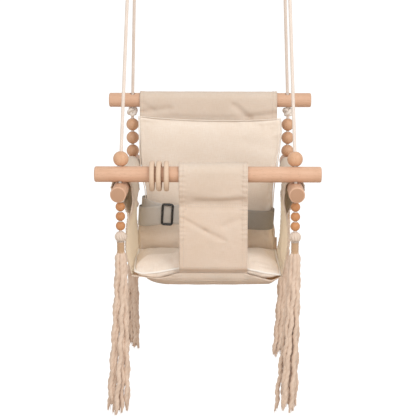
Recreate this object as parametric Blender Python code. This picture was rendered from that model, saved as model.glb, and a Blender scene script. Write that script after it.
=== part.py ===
"""Toddler bucket swing: a canvas seat slung between four wooden dowels on four ropes.

Frame: origin at the hang point, midway between the two hang rings where the ropes turn.
+X to the right as seen from the front, +Y to the back, +Z up. "left" is the -X side.
"""

import math

import bmesh
import bpy
from mathutils import Matrix, Vector

# Wooden bars and the grid of rope holes
BAR_DIAMETER = 0.028
BAR_LENGTH = 0.400
BAR_END_ROUND = 0.003
HOLE_SPACING = 0.310
ROPE_DIAMETER = 0.006
BAR_HOLE_DIAMETER = 0.010
FRONT_HOLE_SHIFT = 0.0007

# Heights, from the hang point down to the arm bars and from there up or down
ARM_DROP = 0.580
FRONT_BAR_RISE = 0.0285
BACK_BAR_RISE = 0.1285
BACK_KNOT_RISE = 0.1049

# Hang rings
HANG_RING_X = 0.1335
HANG_RING_RADIUS = 0.020
HANG_WIRE_DIAMETER = 0.005
EYE_RADIUS = 0.0065
EYE_OFFSET = 0.0035
EYE_TAIL = 0.052

# Balls, beads and play rings
BAR_KNOT_RADIUS = 0.0098
BAR_KNOT_HOLE = 0.0102
LOCK_BALL_DIAMETER = 0.0275
LOCK_BALL_HOLE = 0.009
LOCK_BALL_PITCH = 0.0273
REAR_BEAD_DIAMETER = 0.025
REAR_BEAD_PITCH = 0.0265
REAR_BEAD_RISE = 0.0258
LOW_BEAD_DIAMETER = 0.017
LOW_BEAD_PITCH = 0.0174
LOW_BEAD_DROP = 0.0290
BEAD_HOLE = 0.0078
PLAY_RING_OUTER = 0.0545
PLAY_RING_SECTION = 0.010
PLAY_RING_THICKNESS = 0.009
PLAY_RING_X = (-0.0985, -0.0860, -0.0730)
PLAY_RING_EASE = 0.003
PLAY_RING_GAP = 0.0009

# Tassels
TASSEL_KNOT_DROP = 0.0835
TASSEL_KNOT_RADIUS = 0.0095
TASSEL_KNOT_HALF_HEIGHT = 0.0085
WRAP_RADIUS = 0.0068
WRAP_TOP = 0.0925
WRAP_BOTTOM = 0.1118
SKIRT_BOTTOM = 0.4080
SKIRT_TOP_RADIUS = 0.0105
SKIRT_BOTTOM_RADIUS = 0.0225

# Canvas, cushions and belt
CANVAS = 0.0024
SLEEVE_RADIUS = 0.0165
ARM_SLEEVE_RADIUS = 0.0172
BACK_CANVAS_HALF_WIDTH = 0.1355
SEAT_CANVAS_HALF_WIDTH = 0.133
SIDE_CANVAS_Y = (-0.132, 0.133)
CROTCH_PANEL_X = (-0.051, 0.070)
BACK_CUSHION_HALF_WIDTHS = (0.127, 0.138)
SEAT_CUSHION_HALF_WIDTH = 0.130
WEBBING_WIDTH = 0.038
WEBBING = 0.0016
BELT_DROP = 0.0929
BELT_TILT = math.radians(3.72)
BELT_Y = 0.071
SLIDER_X = -0.0826
SLIDER_SIZE = (0.0235, 0.0436)
SLIDER_PLATE = 0.0030
SLIDER_RIM = 0.0036
BUCKLE_HEIGHT = 0.044
BUCKLE_THICKNESS = 0.011
BUCKLE_WALL = 0.0020
SOCKET_X = (-0.012, 0.026)
TONGUE_X = (-0.031, -0.0124)
PRONG_LENGTH = 0.024
PRONG_HEIGHT = 0.0065
POCKET = 0.008

GAP = 0.0003
BORE_STEPS = 16

HOLE_X = HOLE_SPACING / 2
HOLE_Y = HOLE_SPACING / 2
ARM_Z = -ARM_DROP
BAR_RADIUS = BAR_DIAMETER / 2

# Both ropes of a side lean from the hang ring to their bars and hang plumb below the bend.
FRONT_BEND_Z = ARM_Z + FRONT_BAR_RISE / 2
REAR_BEND_Z = ARM_Z + BACK_KNOT_RISE
FRONT_LEAN = math.atan(HOLE_Y / -FRONT_BEND_Z)
REAR_LEAN = math.atan(HOLE_Y / -REAR_BEND_Z)
FRONT_BAR_Z = ARM_Z + FRONT_BAR_RISE
FRONT_BAR_Y = FRONT_BAR_Z * math.tan(FRONT_LEAN)
BACK_BAR_Z = ARM_Z + BACK_BAR_RISE
BACK_BAR_Y = -BACK_BAR_Z * math.tan(REAR_LEAN)


def clear_scene():
    for obj in list(bpy.data.objects):
        bpy.data.objects.remove(obj)


def make_material(name, color, roughness, metallic=0.0):
    material = bpy.data.materials.new(name)
    material.use_nodes = True
    shader = material.node_tree.nodes["Principled BSDF"]
    shader.inputs["Base Color"].default_value = (*color, 1.0)
    shader.inputs["Roughness"].default_value = roughness
    shader.inputs["Metallic"].default_value = metallic
    return material


def place(obj, look, location=(0, 0, 0), rotation=(0, 0, 0), parent=None):
    """Gives an object its material, position and parent."""
    color, roughness, metallic = look
    obj.data.materials.append(make_material(obj.name, color, roughness, metallic))
    obj.location = location
    obj.rotation_euler = rotation
    obj.parent = parent
    return obj


def mesh_object(name, shape, smooth_angle=35):
    """A mesh object made from a bmesh, with its faces turned outwards."""
    bmesh.ops.recalc_face_normals(shape, faces=shape.faces)
    mesh = bpy.data.meshes.new(name)
    shape.to_mesh(mesh)
    shape.free()
    mesh.shade_smooth()
    mesh.set_sharp_from_angle(angle=math.radians(smooth_angle))
    obj = bpy.data.objects.new(name, mesh)
    bpy.context.collection.objects.link(obj)
    return obj


def empty(name, location=(0, 0, 0), rotation=(0, 0, 0), parent=None):
    """A joint frame that pieces are parented to."""
    frame = bpy.data.objects.new(name, None)
    bpy.context.collection.objects.link(frame)
    frame.empty_display_size = 0.02
    frame.location = location
    frame.rotation_euler = rotation
    frame.parent = parent
    return frame


def turned(name, profile, steps, bored):
    """Revolves (radius, height) points round Z. A bored profile is a closed loop round the bore."""
    shape = bmesh.new()
    rings = []
    for step in range(steps):
        turn = Matrix.Rotation(2 * math.pi * step / steps, 3, "Z")
        rings.append([shape.verts.new(turn @ Vector((r, 0, z))) for r, z in profile])
    spans = len(profile) if bored else len(profile) - 1
    for step in range(steps):
        here, there = rings[step], rings[(step + 1) % steps]
        for i in range(spans):
            j = (i + 1) % len(profile)
            shape.faces.new((here[i], there[i], there[j], here[j]))
    if not bored:
        shape.faces.new([ring[0] for ring in rings])
        shape.faces.new([ring[-1] for ring in rings])
    return mesh_object(name, shape)


def bored_ball(name, radius, hole_radius, steps, arc_steps, height_scale=1.0):
    """A ball or a squashed ball with a straight hole through it."""
    edge = math.asin(hole_radius / radius)
    profile = []
    for i in range(arc_steps + 1):
        angle = edge + (math.pi - 2 * edge) * i / arc_steps
        profile.append((radius * math.sin(angle), height_scale * radius * math.cos(angle)))
    return turned(name, profile, steps, bored=True)


def drill(obj, point, direction, radius, depth=0.05):
    """Cuts a straight round hole through a piece."""
    shape = bmesh.new()
    bmesh.ops.create_cone(
        shape, cap_ends=True, segments=BORE_STEPS, radius1=radius, radius2=radius, depth=depth
    )
    cutter = mesh_object(f"{obj.name}_drill_{len(obj.modifiers)}", shape)
    cutter.rotation_euler = Vector(direction).to_track_quat("Z", "Y").to_euler()
    cutter.location = point
    combine(obj, cutter, "DIFFERENCE", obj.parent)


def combine(obj, tool, operation, parent):
    """Cuts a hidden tool out of a piece, or joins it to the piece."""
    tool.hide_render = True
    tool.display_type = "WIRE"
    tool.parent = parent
    boolean = obj.modifiers.new(tool.name, "BOOLEAN")
    boolean.operation = operation
    boolean.solver = "EXACT"
    boolean.object = tool


def box_object(name, low, high):
    shape = bmesh.new()
    size = [b - a for a, b in zip(low, high)]
    middle = [(a + b) / 2 for a, b in zip(low, high)]
    matrix = Matrix.Translation(middle) @ Matrix.Diagonal((*size, 1))
    bmesh.ops.create_cube(shape, size=1.0, matrix=matrix)
    return mesh_object(name, shape)


def soften(obj, width, segments=1):
    bevel = obj.modifiers.new("edges", "BEVEL")
    bevel.width = width
    bevel.segments = segments
    bevel.limit_method = "ANGLE"


def side_offsets(path, half):
    """Points on each side of a path in its plane, a half thickness away."""
    left, right = [], []
    for i, point in enumerate(path):
        before = Vector(path[max(i - 1, 0)])
        after = Vector(path[min(i + 1, len(path) - 1)])
        here = Vector(point)
        first = (here - before).normalized() if i > 0 else (after - here).normalized()
        second = (after - here).normalized() if i < len(path) - 1 else first
        along = (first + second).normalized()
        across = Vector((-along.y, along.x)) * half / max(along.dot(first), 0.5)
        left.append(here + across)
        right.append(here - across)
    return left, right


def ribbon(name, path, thickness, low, high, to_space):
    """A strip of cloth: a path in a plane, thickened and drawn out from low to high."""
    left, right = side_offsets(path, thickness / 2)
    shape = bmesh.new()
    rows = []
    for a, b in zip(left, right):
        corners = [to_space(a, low), to_space(b, low), to_space(b, high), to_space(a, high)]
        rows.append([shape.verts.new(corner) for corner in corners])
    for here, there in zip(rows, rows[1:]):
        for i in range(4):
            j = (i + 1) % 4
            shape.faces.new((here[i], here[j], there[j], there[i]))
    shape.faces.new(rows[0])
    shape.faces.new(rows[-1])
    return mesh_object(name, shape)


def along_x(point, x):
    return (x, point.x, point.y)


def along_y(point, y):
    return (point.x, y, point.y)


def along_z(point, z):
    return (point.x, point.y, z)


def over_bar(center_y, center_z, radius, steps=8):
    """The half turn that a sleeve takes over a bar, from its back side to its front side."""
    return [
        (
            center_y + radius * math.cos(math.pi * i / steps),
            center_z + radius * math.sin(math.pi * i / steps),
        )
        for i in range(steps + 1)
    ]


def prism(name, profile, half_width_at):
    """A cushion block: a side profile drawn out to the half width given for each height."""
    shape = bmesh.new()
    sides = []
    for side in (-1, 1):
        sides.append([shape.verts.new((side * half_width_at(z), y, z)) for y, z in profile])
    shape.faces.new(sides[0])
    shape.faces.new(list(reversed(sides[1])))
    count = len(profile)
    for i in range(count):
        j = (i + 1) % count
        shape.faces.new((sides[0][i], sides[0][j], sides[1][j], sides[1][i]))
    return mesh_object(name, shape)


WOOD = ((0.72, 0.45, 0.27), 0.5, 0.0)
BEAD_WOOD = ((0.62, 0.32, 0.17), 0.45, 0.0)
PALE_WOOD = ((0.78, 0.62, 0.42), 0.5, 0.0)
COTTON = ((0.82, 0.74, 0.65), 0.9, 0.0)
CANVAS_CLOTH = ((0.80, 0.69, 0.58), 0.9, 0.0)
WRAP_CORD = ((0.55, 0.39, 0.24), 0.85, 0.0)
WEBBING_CLOTH = ((0.30, 0.27, 0.24), 0.8, 0.0)
BLACK_PLASTIC = ((0.012, 0.012, 0.013), 0.3, 0.0)
STEEL = ((0.62, 0.62, 0.62), 0.3, 1.0)


def make_bar(name, axis, location, parent):
    """A round bar with eased ends, along X or Y."""
    half = BAR_LENGTH / 2
    profile = [
        (BAR_RADIUS - BAR_END_ROUND, -half),
        (BAR_RADIUS - BAR_END_ROUND * 0.3, -half + BAR_END_ROUND * 0.3),
        (BAR_RADIUS, -half + BAR_END_ROUND),
        (BAR_RADIUS, half - BAR_END_ROUND),
        (BAR_RADIUS - BAR_END_ROUND * 0.3, half - BAR_END_ROUND * 0.3),
        (BAR_RADIUS - BAR_END_ROUND, half),
    ]
    bar = turned(name, profile, 28, bored=False)
    quarter = math.pi / 2
    rotation = (0, quarter, 0) if axis == "X" else (quarter, 0, 0)
    return place(bar, WOOD, location, rotation, parent)


def make_bars(swing, front_frame):
    """Front and back bars have leaning holes, and the arm bars have plumb ones."""
    hole = BAR_HOLE_DIAMETER / 2
    back = make_bar("back_bar", "X", (0, BACK_BAR_Y, BACK_BAR_Z), swing)
    front = make_bar("front_bar", "X", (0, 0, 0), front_frame)
    for side in (-1, 1):
        drill(back, *rope_at(side, 1, BACK_BAR_Z), hole)
        front_up = (0, math.sin(FRONT_LEAN), math.cos(FRONT_LEAN))
        drill(front, (side * (HOLE_X - FRONT_HOLE_SHIFT), 0, 0), front_up, hole)
    for name, side in (("left_arm_bar", -1), ("right_arm_bar", 1)):
        arm = make_bar(name, "Y", (side * HOLE_X, 0, ARM_Z), swing)
        for end in (-1, 1):
            drill(arm, (side * HOLE_X, end * HOLE_Y, ARM_Z), (0, 0, 1), hole)


def make_hang_rings():
    """Steel rings that the ropes turn in. Each one's lowest wire is on the hinge axis."""
    wire = HANG_WIRE_DIAMETER / 2
    sections = 10
    profile = []
    for i in range(sections):
        angle = 2 * math.pi * i / sections
        profile.append((HANG_RING_RADIUS + wire * math.cos(angle), wire * math.sin(angle)))
    for name, side in (("left_hang_ring", -1), ("right_hang_ring", 1)):
        ring = turned(name, profile, 32, bored=True)
        place(ring, STEEL, (side * HANG_RING_X, 0, HANG_RING_RADIUS), (math.pi / 2, 0, 0))


def eye_points(lean_side, lean):
    """The eye loop round the ring's wire and its short tail, as (y, z) points from tail to rope."""
    down = Vector((lean_side * math.sin(lean), -math.cos(lean)))
    across = Vector((-lean_side * math.cos(lean), -math.sin(lean)))
    tail = EYE_RADIUS + 0.0001
    steps = [(EYE_TAIL, tail), (0.036, tail), (0.020, tail), (0.008, tail)]
    for degrees in range(0, 181, 30):
        angle = math.radians(degrees)
        steps.append((-EYE_RADIUS * math.sin(angle), EYE_RADIUS * math.cos(angle)))
    steps += [(0.009, -0.0052), (0.019, -0.0018), (0.031, 0.0)]
    return [down * t + across * w for t, w in steps]


def rope_ends(side, lean_side):
    """The hang point and the bend of a rope's leaning stretch."""
    bend_z = FRONT_BEND_Z if lean_side < 0 else REAR_BEND_Z
    top = Vector((side * (HANG_RING_X - lean_side * EYE_OFFSET), 0, 0))
    return top, Vector((side * HOLE_X, lean_side * HOLE_Y, bend_z))


def rope_at(side, lean_side, z):
    """The point of the leaning stretch at a height, and the way up along it."""
    top, bend = rope_ends(side, lean_side)
    return bend.lerp(top, (z - bend.z) / (top.z - bend.z)), (top - bend).normalized()


def rope_route(side, lean_side):
    """The rope from its eye's tail, over the ring, down to the knot above the tassel."""
    lean = FRONT_LEAN if lean_side < 0 else REAR_LEAN
    top, bend = rope_ends(side, lean_side)
    top_x, bend_z = top.x, bend.z
    down = Vector((lean_side * math.sin(lean), -math.cos(lean)))
    reach = -bend_z / math.cos(lean)
    route = [(top_x, y, z) for y, z in eye_points(lean_side, lean)]
    start = 0.031
    for t in (0.10, 0.18, 0.26, 0.34, 0.42, reach - 0.045, reach - 0.028, reach - 0.012):
        share = (t - start) / (reach - start)
        point = down * t
        route.append((top_x + (side * HOLE_X - top_x) * share, point.x, point.y))
    end_z = ARM_Z - TASSEL_KNOT_DROP + TASSEL_KNOT_HALF_HEIGHT + 0.0006
    plumb = [bend_z - 0.012, bend_z - 0.030, (bend_z - 0.030 + end_z) / 2, end_z]
    route += [(side * HOLE_X, lean_side * HOLE_Y, z) for z in plumb]
    return [Vector(point) for point in route]


def smooth_points(route, spacing, fine_spacing, fine_length):
    """Points read from a centripetal Catmull-Rom curve through the route's own points."""
    ends = [2 * route[0] - route[1], *route, 2 * route[-1] - route[-2]]
    dense = []
    for i in range(1, len(ends) - 2):
        p0, p1, p2, p3 = ends[i - 1 : i + 3]
        t1 = (p1 - p0).length ** 0.5
        t2 = t1 + (p2 - p1).length ** 0.5
        t3 = t2 + (p3 - p2).length ** 0.5
        for step in range(16):
            t = t1 + (t2 - t1) * step / 16
            a1 = p0 * (t1 - t) / t1 + p1 * t / t1
            a2 = p1 * (t2 - t) / (t2 - t1) + p2 * (t - t1) / (t2 - t1)
            a3 = p2 * (t3 - t) / (t3 - t2) + p3 * (t - t2) / (t3 - t2)
            b1 = a1 * (t2 - t) / t2 + a2 * t / t2
            b2 = a2 * (t3 - t) / (t3 - t1) + a3 * (t - t1) / (t3 - t1)
            dense.append(b1 * (t2 - t) / (t2 - t1) + b2 * (t - t1) / (t2 - t1))
    dense.append(route[-1])
    points = [dense[0]]
    travelled = since = 0.0
    for before, after in zip(dense, dense[1:]):
        step = (after - before).length
        travelled += step
        since += step
        if since >= (fine_spacing if travelled < fine_length else spacing):
            points.append(after)
            since = 0.0
    if (points[-1] - dense[-1]).length < 0.004:
        points.pop()
    points.append(dense[-1])
    return points


def make_rope(name, side, lean_side, parent):
    points = smooth_points(rope_route(side, lean_side), 0.0165, 0.0042, 0.115)
    curve = bpy.data.curves.new(name, "CURVE")
    curve.dimensions = "3D"
    curve.bevel_depth = ROPE_DIAMETER / 2
    curve.bevel_resolution = 2
    curve.use_fill_caps = True
    spline = curve.splines.new("POLY")
    spline.points.add(len(points) - 1)
    for slot, point in zip(spline.points, points):
        slot.co = (*point, 1.0)
    rope = bpy.data.objects.new(name, curve)
    bpy.context.collection.objects.link(rope)
    return place(rope, COTTON, parent=parent)


def make_bar_knot(name, side, parent):
    """The overhand knot that holds the back bar up, tilted half way into the rope's bend."""
    knot = bored_ball(name, BAR_KNOT_RADIUS, BAR_KNOT_HOLE / 2, 16, 6)
    return place(knot, COTTON, (side * HOLE_X, HOLE_Y, REAR_BEND_Z), (REAR_LEAN / 2, 0, 0), parent)


def make_lock_ball(name, side, front_frame):
    """A ball on the front rope, resting on the front bar."""
    foot, up = rope_at(side, -1, FRONT_BAR_Z)
    ball = bored_ball(name, LOCK_BALL_DIAMETER / 2, LOCK_BALL_HOLE / 2, 22, 10)
    location = foot + up * LOCK_BALL_PITCH - front_frame.location
    return place(ball, BEAD_WOOD, location, up.to_track_quat("Z", "Y").to_euler(), front_frame)


def make_bead_string(name, foot, diameter, first, pitch, steps, parent):
    """Three beads on the plumb stretch of a rope. A negative pitch counts them downwards."""
    frame = empty(f"{name}s", foot, parent=parent)
    for i in range(3):
        bead = bored_ball(f"{name}_{i + 1}", diameter / 2, BEAD_HOLE / 2, steps, steps // 2 - 1)
        place(bead, BEAD_WOOD, (0, 0, first + i * pitch), parent=frame)


def make_beads(swing):
    """Large beads above the rear ends of the arm bars, small ones below all four ends."""
    for name, side in (("left", -1), ("right", 1)):
        foot = (side * HOLE_X, HOLE_Y, ARM_Z)
        label = f"rear_{name}_bead"
        make_bead_string(label, foot, REAR_BEAD_DIAMETER, REAR_BEAD_RISE, REAR_BEAD_PITCH, 18, swing)
        for end, lean_side in (("front", -1), ("rear", 1)):
            foot = (side * HOLE_X, lean_side * HOLE_Y, ARM_Z)
            label = f"{end}_{name}_low_bead"
            make_bead_string(label, foot, LOW_BEAD_DIAMETER, -LOW_BEAD_DROP, -LOW_BEAD_PITCH, 14, swing)


def make_play_rings(front_frame):
    """Loose rings that hang on the front bar, side by side."""
    outer = PLAY_RING_OUTER / 2
    inner = outer - PLAY_RING_SECTION
    half = PLAY_RING_THICKNESS / 2
    ease = PLAY_RING_EASE
    profile = [
        (inner, -half + ease),
        (inner + ease * 0.7, -half),
        (outer - ease * 0.7, -half),
        (outer, -half + ease),
        (outer, half - ease),
        (outer - ease * 0.7, half),
        (inner + ease * 0.7, half),
        (inner, half - ease),
    ]
    hang = BAR_RADIUS + PLAY_RING_GAP - inner
    for i, x in enumerate(PLAY_RING_X):
        ring = turned(f"play_ring_{i + 1}", profile, 32, bored=True)
        place(ring, PALE_WOOD, (x, 0, hang), (0, math.pi / 2, 0), front_frame)


def make_tassel(name, side, lean_side, parent):
    """A knot, the wrapped neck under it and the skirt of cotton strands."""
    frame = empty(
        f"{name}_tassel", (side * HOLE_X, lean_side * HOLE_Y, ARM_Z - TASSEL_KNOT_DROP), parent=parent
    )
    knot_profile = []
    rows = 7
    for i in range(rows + 1):
        angle = 0.25 + (math.pi - 0.5) * i / rows
        height = TASSEL_KNOT_HALF_HEIGHT * math.cos(angle) / math.cos(0.25)
        knot_profile.append((TASSEL_KNOT_RADIUS * math.sin(angle), height))
    place(turned(f"{name}_tassel_knot", knot_profile, 14, bored=False), COTTON, parent=frame)

    top = TASSEL_KNOT_DROP - WRAP_TOP
    bottom = TASSEL_KNOT_DROP - WRAP_BOTTOM
    wrap_profile = [
        (WRAP_RADIUS - 0.0012, top),
        (WRAP_RADIUS, top - 0.0012),
        (WRAP_RADIUS, bottom + 0.0012),
        (WRAP_RADIUS - 0.0012, bottom),
    ]
    place(turned(f"{name}_tassel_wrap", wrap_profile, 14, bored=False), WRAP_CORD, parent=frame)

    start = bottom - GAP
    end = TASSEL_KNOT_DROP - SKIRT_BOTTOM
    skirt_profile = [(WRAP_RADIUS, start), (SKIRT_TOP_RADIUS, start - 0.006)]
    for share in (0.12, 0.4, 0.7, 0.92, 1.0):
        radius = SKIRT_TOP_RADIUS + (SKIRT_BOTTOM_RADIUS - SKIRT_TOP_RADIUS) * share
        skirt_profile.append((radius, start + (end - start) * share))
    place(turned(f"{name}_tassel_skirt", skirt_profile, 14, bored=False), COTTON, parent=frame)


def make_back_canvas(swing):
    """The back panel: a sleeve over the back bar, then down behind the cushion."""
    path = [(BACK_BAR_Y - 0.010, BACK_BAR_Z - 0.052), (BACK_BAR_Y + 0.013, BACK_BAR_Z - 0.018)]
    path += over_bar(BACK_BAR_Y, BACK_BAR_Z, SLEEVE_RADIUS)
    path += [(0.128, ARM_Z), (0.124, ARM_Z - 0.100), (0.122, ARM_Z - 0.150)]
    width = BACK_CANVAS_HALF_WIDTH
    canvas = ribbon("back_canvas", path, CANVAS, -width, width, along_x)
    place(canvas, CANVAS_CLOTH, parent=swing)


def make_seat_canvas(swing):
    """The seat panel: a turned-up front hem, a sagging middle and a rise to the back."""
    path = [(-0.1365, -0.152), (-0.137, -0.166), (-0.120, -0.180), (-0.080, -0.190), (-0.020, -0.196)]
    path += [(0.040, -0.193), (0.090, -0.183), (0.117, -0.172), (0.121, -0.1535)]
    path = [(y, ARM_Z + z) for y, z in path]
    width = SEAT_CANVAS_HALF_WIDTH
    canvas = ribbon("seat_canvas", path, CANVAS, -width, width, along_x)
    place(canvas, CANVAS_CLOTH, parent=swing)


def make_side_canvas(name, side, swing):
    """A side wing: a loose sleeve round the arm bar, sewn up under its inner side, then down to the seat."""
    inner = 2 * HOLE_X
    path = [(0.1405, -0.0310), (0.1380, -0.014)]
    path += [(inner - x, z) for x, z in over_bar(HOLE_X, 0, ARM_SLEEVE_RADIUS, 10)]
    path += [(0.1690, -0.0110), (0.1620, -0.0180), (0.1530, -0.0260), (0.1465, -0.0385)]
    path += [(0.1445, -0.060), (0.1455, -0.100), (0.1450, -0.140), (0.1420, -0.155), (0.1365, -0.163)]
    path = [(side * x, ARM_Z + z) for x, z in path]
    canvas = ribbon(name, path, CANVAS, *SIDE_CANVAS_Y, along_y)
    place(canvas, CANVAS_CLOTH, parent=swing)


def make_crotch_panel(swing):
    """The strap between the legs: a sleeve over the front bar, then down in front of the seat."""
    back = FRONT_BAR_Y + SLEEVE_RADIUS
    path = [(back - 0.008, FRONT_BAR_Z - 0.052), (back - 0.0012, FRONT_BAR_Z - 0.014)]
    path += over_bar(FRONT_BAR_Y, FRONT_BAR_Z, SLEEVE_RADIUS)
    front = FRONT_BAR_Y - SLEEVE_RADIUS
    path += [(front + 0.001, FRONT_BAR_Z - 0.028), (front + 0.009, FRONT_BAR_Z - 0.062)]
    path += [(-0.153, ARM_Z - 0.090), (-0.147, ARM_Z - 0.150), (-0.142, ARM_Z - 0.168)]
    panel = ribbon("crotch_panel", path, CANVAS, *CROTCH_PANEL_X, along_x)
    place(panel, CANVAS_CLOTH, parent=swing)


def make_cushions(swing):
    """Back and seat cushions as plain blocks with eased edges."""
    bottom, top = ARM_Z - 0.158, ARM_Z + 0.092
    low_width, high_width = BACK_CUSHION_HALF_WIDTHS

    def back_width(z):
        return low_width + (high_width - low_width) * (z - bottom) / (top - bottom)

    back_profile = [(0.090, ARM_Z - 0.153), (0.1185, bottom), (0.1280, ARM_Z + 0.086), (0.101, top)]
    back = prism("back_cushion", back_profile, back_width)
    soften(back, 0.007, 2)
    place(back, CANVAS_CLOTH, parent=swing)

    seat_top = [(-0.133, -0.158), (-0.132, -0.137), (-0.100, -0.130), (0.020, -0.142), (0.084, -0.159)]
    seat_bottom = [(0.113, -0.167), (0.086, -0.178), (0.040, -0.188), (-0.020, -0.190), (-0.080, -0.184)]
    seat_profile = [(y, ARM_Z + z) for y, z in [*seat_top, *seat_bottom, (-0.117, -0.174)]]
    seat = prism("seat_cushion", seat_profile, lambda z: SEAT_CUSHION_HALF_WIDTH)
    soften(seat, 0.003)
    place(seat, CANVAS_CLOTH, parent=swing)


def make_belts(belt):
    """Two lengths of webbing, from the seat's edges round the cushion to the buckle."""
    half = WEBBING_WIDTH / 2
    wrap = [(0.1385, 0.1185), (0.1385, 0.101), (0.1365, 0.089), (0.129, 0.077), (0.115, 0.0715)]
    wrap.append((0.109, BELT_Y))
    left = [(-x, y) for x, y in wrap] + [(TONGUE_X[0] + POCKET - 0.0004, BELT_Y)]
    right = wrap + [(SOCKET_X[1] - POCKET + 0.0004, BELT_Y)]
    for name, path in (("left_belt", left), ("right_belt", right)):
        webbing = ribbon(name, path, WEBBING, -half, half, along_z)
        place(webbing, WEBBING_CLOTH, parent=belt)


def make_slider(belt):
    """A two-slot strap slider: side bars in front of the webbing, the middle bar behind it."""
    width, height = SLIDER_SIZE
    front = -WEBBING / 2 - 0.0004
    low = (-width / 2, front - SLIDER_PLATE, -height / 2)
    body = box_object("belt_slider", low, (width / 2, front, height / 2))
    slot = WEBBING_WIDTH / 2 + 0.0006
    inner = width / 2 - SLIDER_RIM
    low = (-inner, front - 2 * SLIDER_PLATE, -slot)
    window = box_object("slider_window", low, (inner, 0.01, slot))
    window.location = (SLIDER_X, BELT_Y, 0)
    combine(body, window, "DIFFERENCE", belt)

    back = WEBBING / 2 + 0.0004
    low = (-0.0022, front - SLIDER_PLATE * 0.6, -height / 2 + 0.0004)
    bridge = box_object("slider_bridge", low, (0.0022, back + 0.0022, height / 2 - 0.0004))
    bridge.location = (SLIDER_X, BELT_Y, 0)
    low = (-0.01, front - 2 * SLIDER_PLATE, -slot)
    passage = box_object("slider_passage", low, (0.01, back, slot))
    passage.location = (SLIDER_X, BELT_Y, 0)
    combine(bridge, passage, "DIFFERENCE", belt)
    combine(body, bridge, "UNION", belt)
    place(body, BLACK_PLASTIC, (SLIDER_X, BELT_Y, 0), parent=belt)


def make_buckle(belt):
    """A side-release buckle: the socket takes a tongue with two prongs and a middle guide."""
    half_height = BUCKLE_HEIGHT / 2
    half_thick = BUCKLE_THICKNESS / 2
    slot = WEBBING / 2 + 0.0004
    slot_height = WEBBING_WIDTH / 2 + 0.0004
    inner = half_thick - BUCKLE_WALL
    inner_height = half_height - BUCKLE_WALL

    low = (SOCKET_X[0], -half_thick, -half_height)
    socket = box_object("buckle_socket", low, (SOCKET_X[1], half_thick, half_height))
    cavity_end = SOCKET_X[0] + PRONG_LENGTH + 0.0015
    cavity = ((SOCKET_X[0] - 0.01, -inner, -inner_height), (cavity_end, inner, inner_height))
    window = ((SOCKET_X[0] + 0.009, -inner + 0.0004, -0.03), (SOCKET_X[0] + 0.020, inner - 0.0004, 0.03))
    pocket = ((SOCKET_X[1] - POCKET, -slot, -slot_height), (SOCKET_X[1] + 0.01, slot, slot_height))
    for name, (low, high) in (("cavity", cavity), ("window", window), ("pocket", pocket)):
        cutter = box_object(f"socket_{name}", low, high)
        cutter.location = (0, BELT_Y, 0)
        combine(socket, cutter, "DIFFERENCE", belt)
    place(socket, BLACK_PLASTIC, (0, BELT_Y, 0), parent=belt)

    low = (TONGUE_X[0], -half_thick, -half_height)
    tongue = box_object("buckle_tongue", low, (TONGUE_X[1], half_thick, half_height))
    start, end = TONGUE_X[1] - 0.001, TONGUE_X[1] + PRONG_LENGTH
    thick = inner - GAP
    prong = inner_height - GAP
    upper = ((start, -thick, prong - PRONG_HEIGHT), (end, thick, prong))
    lower = ((start, -thick, -prong), (end, thick, -prong + PRONG_HEIGHT))
    guide = ((start, -thick * 0.7, -0.003), (end - 0.004, thick * 0.7, 0.003))
    for name, (low, high) in (("upper", upper), ("lower", lower), ("guide", guide)):
        arm = box_object(f"tongue_{name}", low, high)
        arm.location = (0, BELT_Y, 0)
        combine(tongue, arm, "UNION", belt)
    low = (TONGUE_X[0] - 0.01, -slot, -slot_height)
    cutter = box_object("tongue_pocket", low, (TONGUE_X[0] + POCKET, slot, slot_height))
    cutter.location = (0, BELT_Y, 0)
    combine(tongue, cutter, "DIFFERENCE", belt)
    place(tongue, BLACK_PLASTIC, (0, BELT_Y, 0), parent=belt)


def main():
    clear_scene()
    swing = empty("swing")
    front_frame = empty("front_bar_frame", (0, FRONT_BAR_Y, FRONT_BAR_Z), parent=swing)
    belt = empty("belt_line", (0, 0, ARM_Z - BELT_DROP), (0, BELT_TILT, 0), swing)
    make_hang_rings()
    make_bars(swing, front_frame)
    for name, side in (("left", -1), ("right", 1)):
        make_rope(f"front_{name}_rope", side, -1, swing)
        make_rope(f"rear_{name}_rope", side, 1, swing)
        make_bar_knot(f"rear_{name}_bar_knot", side, swing)
        make_lock_ball(f"{name}_lock_ball", side, front_frame)
        make_side_canvas(f"{name}_side_canvas", side, swing)
        make_tassel(f"front_{name}", side, -1, swing)
        make_tassel(f"rear_{name}", side, 1, swing)
    make_beads(swing)
    make_play_rings(front_frame)
    make_back_canvas(swing)
    make_seat_canvas(swing)
    make_crotch_panel(swing)
    make_cushions(swing)
    make_belts(belt)
    make_slider(belt)
    make_buckle(belt)


main()
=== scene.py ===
"""Looks for a hanging toddler bucket swing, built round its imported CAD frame.

Axes as in the frame: +X to the right as seen from the front, +Y to the back, +Z up, metres.
The frame's origin is the hang point, so everything but the hang rings is below zero.
Heights named "drop" are downwards from the arm bars' middle, and cloth profiles are written from there too.
"""

import math

import bmesh
import bpy
import numpy as np
from mathutils import Matrix, Vector, noise
from mathutils.bvhtree import BVHTree


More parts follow.
